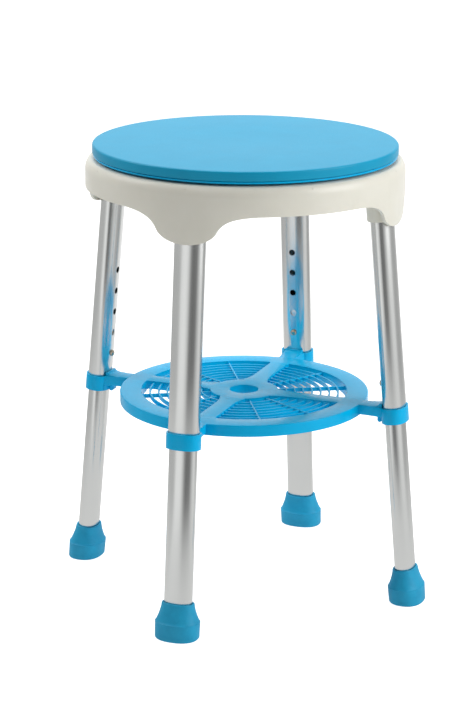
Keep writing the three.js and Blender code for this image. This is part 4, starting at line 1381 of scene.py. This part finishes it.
# %% Anodised tube
LINE_WIDTH = 0.5 * MM
LINE_LENGTH = 250 * MM
LINE_DEPTH = 0.006 * MM
FLAW_DEPTH = 0.01 * MM


def anodised_tube(leg):
    material = empty_material(f"satin_anodised_extruded_aluminium_{leg}")
    tree = material.node_tree
    place = leg_place(leg)
    upright = add(tree, "Mapping", {
        "vector_type": "TEXTURE", "Location": place.translation, "Rotation": place.to_euler(),
    }, {"Vector": add(tree, "TexCoord").outputs["Object"]})
    squeezed = add(tree, "Mapping", {
        "Scale": (1 / LINE_WIDTH, 1 / LINE_WIDTH, 1 / LINE_LENGTH)}, {"Vector": upright.outputs[0]})
    lines = add(tree, "TexNoise", {"Scale": 1, "Detail": 2, "Roughness": 0.6},
                {"Vector": squeezed.outputs[0]})
    cloud = add(tree, "TexNoise", {"Scale": 30, "Detail": 3}, {"Vector": upright.outputs[0]})
    colours = add(tree, "Mix", {"data_type": "RGBA", 6: linear("#e6e7e5"), 7: linear("#dfe1e0")},
                  {0: cloud.outputs["Fac"]})
    gloss = add(tree, "MapRange", {**NOISE_SPAN, "To Min": 0.2, "To Max": 0.27},
                {"Value": lines.outputs["Fac"]})
    bump = add(tree, "Bump", {
        "Distance": LINE_DEPTH, "Strength": 1}, {"Height": lines.outputs["Fac"]})
    surface = add(tree, "BsdfPrincipled", {"Metallic": 1}, {
        "Base Color": colours.outputs[2], "Roughness": gloss.outputs[0], "Normal": bump.outputs[0]})
    add(tree, "OutputMaterial", links={"Surface": surface.outputs[0]})
    return material


tube_finishes = [anodised_tube(leg) for leg in LEGS]
print("tube finishes", len(tube_finishes))

# %% [markdown]
# ## Plated steel and spring steel
#
# The button, bolt, washer, nut, screws and the discs in the feet are plated steel; the springs are
# bare spring steel, darker and smoother. Both are metals with only small flaws, so one noise varies
# their colour and gloss and gives a trace of relief.

# %% Steels
def steel(name, colour, worn_colour, roughness, flaw):
    material = empty_material(name)
    tree = material.node_tree
    place = add(tree, "TexCoord").outputs["Object"]
    flaws = add(tree, "TexNoise", {"Scale": 1 / flaw, "Detail": 4}, {"Vector": place})
    colours = add(tree, "Mix", {"data_type": "RGBA", 6: linear(colour), 7: linear(worn_colour)},
                  {0: flaws.outputs["Fac"]})
    gloss = add(tree, "MapRange", {"To Min": roughness - 0.06, "To Max": roughness + 0.08},
                {"Value": flaws.outputs["Fac"]})
    bump = add(tree, "Bump", {
        "Distance": FLAW_DEPTH, "Strength": 1}, {"Height": flaws.outputs["Fac"]})
    surface = add(tree, "BsdfPrincipled", {"Metallic": 1}, {
        "Base Color": colours.outputs[2], "Roughness": gloss.outputs[0], "Normal": bump.outputs[0]})
    add(tree, "OutputMaterial", links={"Surface": surface.outputs[0]})
    return material


# Bright plating gives small, sharp reflections, a little warm.
plated_steel = steel("nickel_plated_steel", "#c9c2b4", "#b5ae9f", 0.2, 2 * MM)
# Hardened strip is darker and faintly streaked.
spring_strip = steel("hardened_spring_steel", "#93928e", "#7f7e7a", 0.28, 3 * MM)
print("steels ready")

# %% [markdown]
# ## Dressing the stool
#
# Every piece gets its finish, rides on the body that moves it, and stands for the plain CAD nodes
# that it refines. The hidden fittings are already right in the CAD, so those nodes only get their
# finish through their material slots.

# %% Finishes, bodies and replaced nodes
def dressed(piece, finish, slot_name, body, *nodes):
    piece.data.materials.clear()
    piece.data.materials.append(finish)
    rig.slot(piece, slot_name)
    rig.ride(piece, body)
    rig.replaces(piece, *nodes)


def refinished(node, finish):
    for slot_place in frame["nodes"][node].material_slots:
        slot_place.material = finish


dressed(seat_pad, foam_skin, "foam_pad", "seat", "seat_cushion")
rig.padded(seat_pad, fill=0.9)
dressed(seat_board, blue_skin, "blue_plastic", "seat", "seat_board")
dressed(seat_frame, ivory_skin, "ivory_plastic", "root", "seat_frame")
dressed(tray, blue_skin, "blue_plastic", "root", "tray")
per_leg = zip(LEGS, tube_finishes, collars, upper_tubes, lower_tubes, feet, buttons)
for leg, tube_finish, collar, upper, lower, foot, button in per_leg:
    dressed(collar, blue_skin, "blue_plastic", "root", f"clamp_collar_{leg}")
    dressed(upper, tube_finish, "aluminium_tube", "root", f"upper_tube_{leg}")
    dressed(lower, tube_finish, "aluminium_tube", f"leg_{leg}", f"lower_tube_{leg}")
    dressed(foot, rubber_skin, "blue_rubber", f"leg_{leg}", f"foot_{leg}")
    dressed(button, plated_steel, "steel", f"button_{leg}", f"snap_button_{leg}")
    refinished(f"foot_insert_{leg}", plated_steel)
    refinished(f"leg_screw_{leg}", plated_steel)
    refinished(f"snap_spring_{leg}", spring_strip)
for node in ("pivot_bolt", "pivot_washer", "pivot_nut"):
    refinished(node, plated_steel)
for node in ("pivot_bush", "glide_ring"):
    refinished(node, acetal_skin)
print("pieces:", len(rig.table()["pieces"]))

# %% Finish
json.dump({"cad": [list(c) for c in cad_box], "visual": [list(c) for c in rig.bounds()]}, open("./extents.json", "w"))
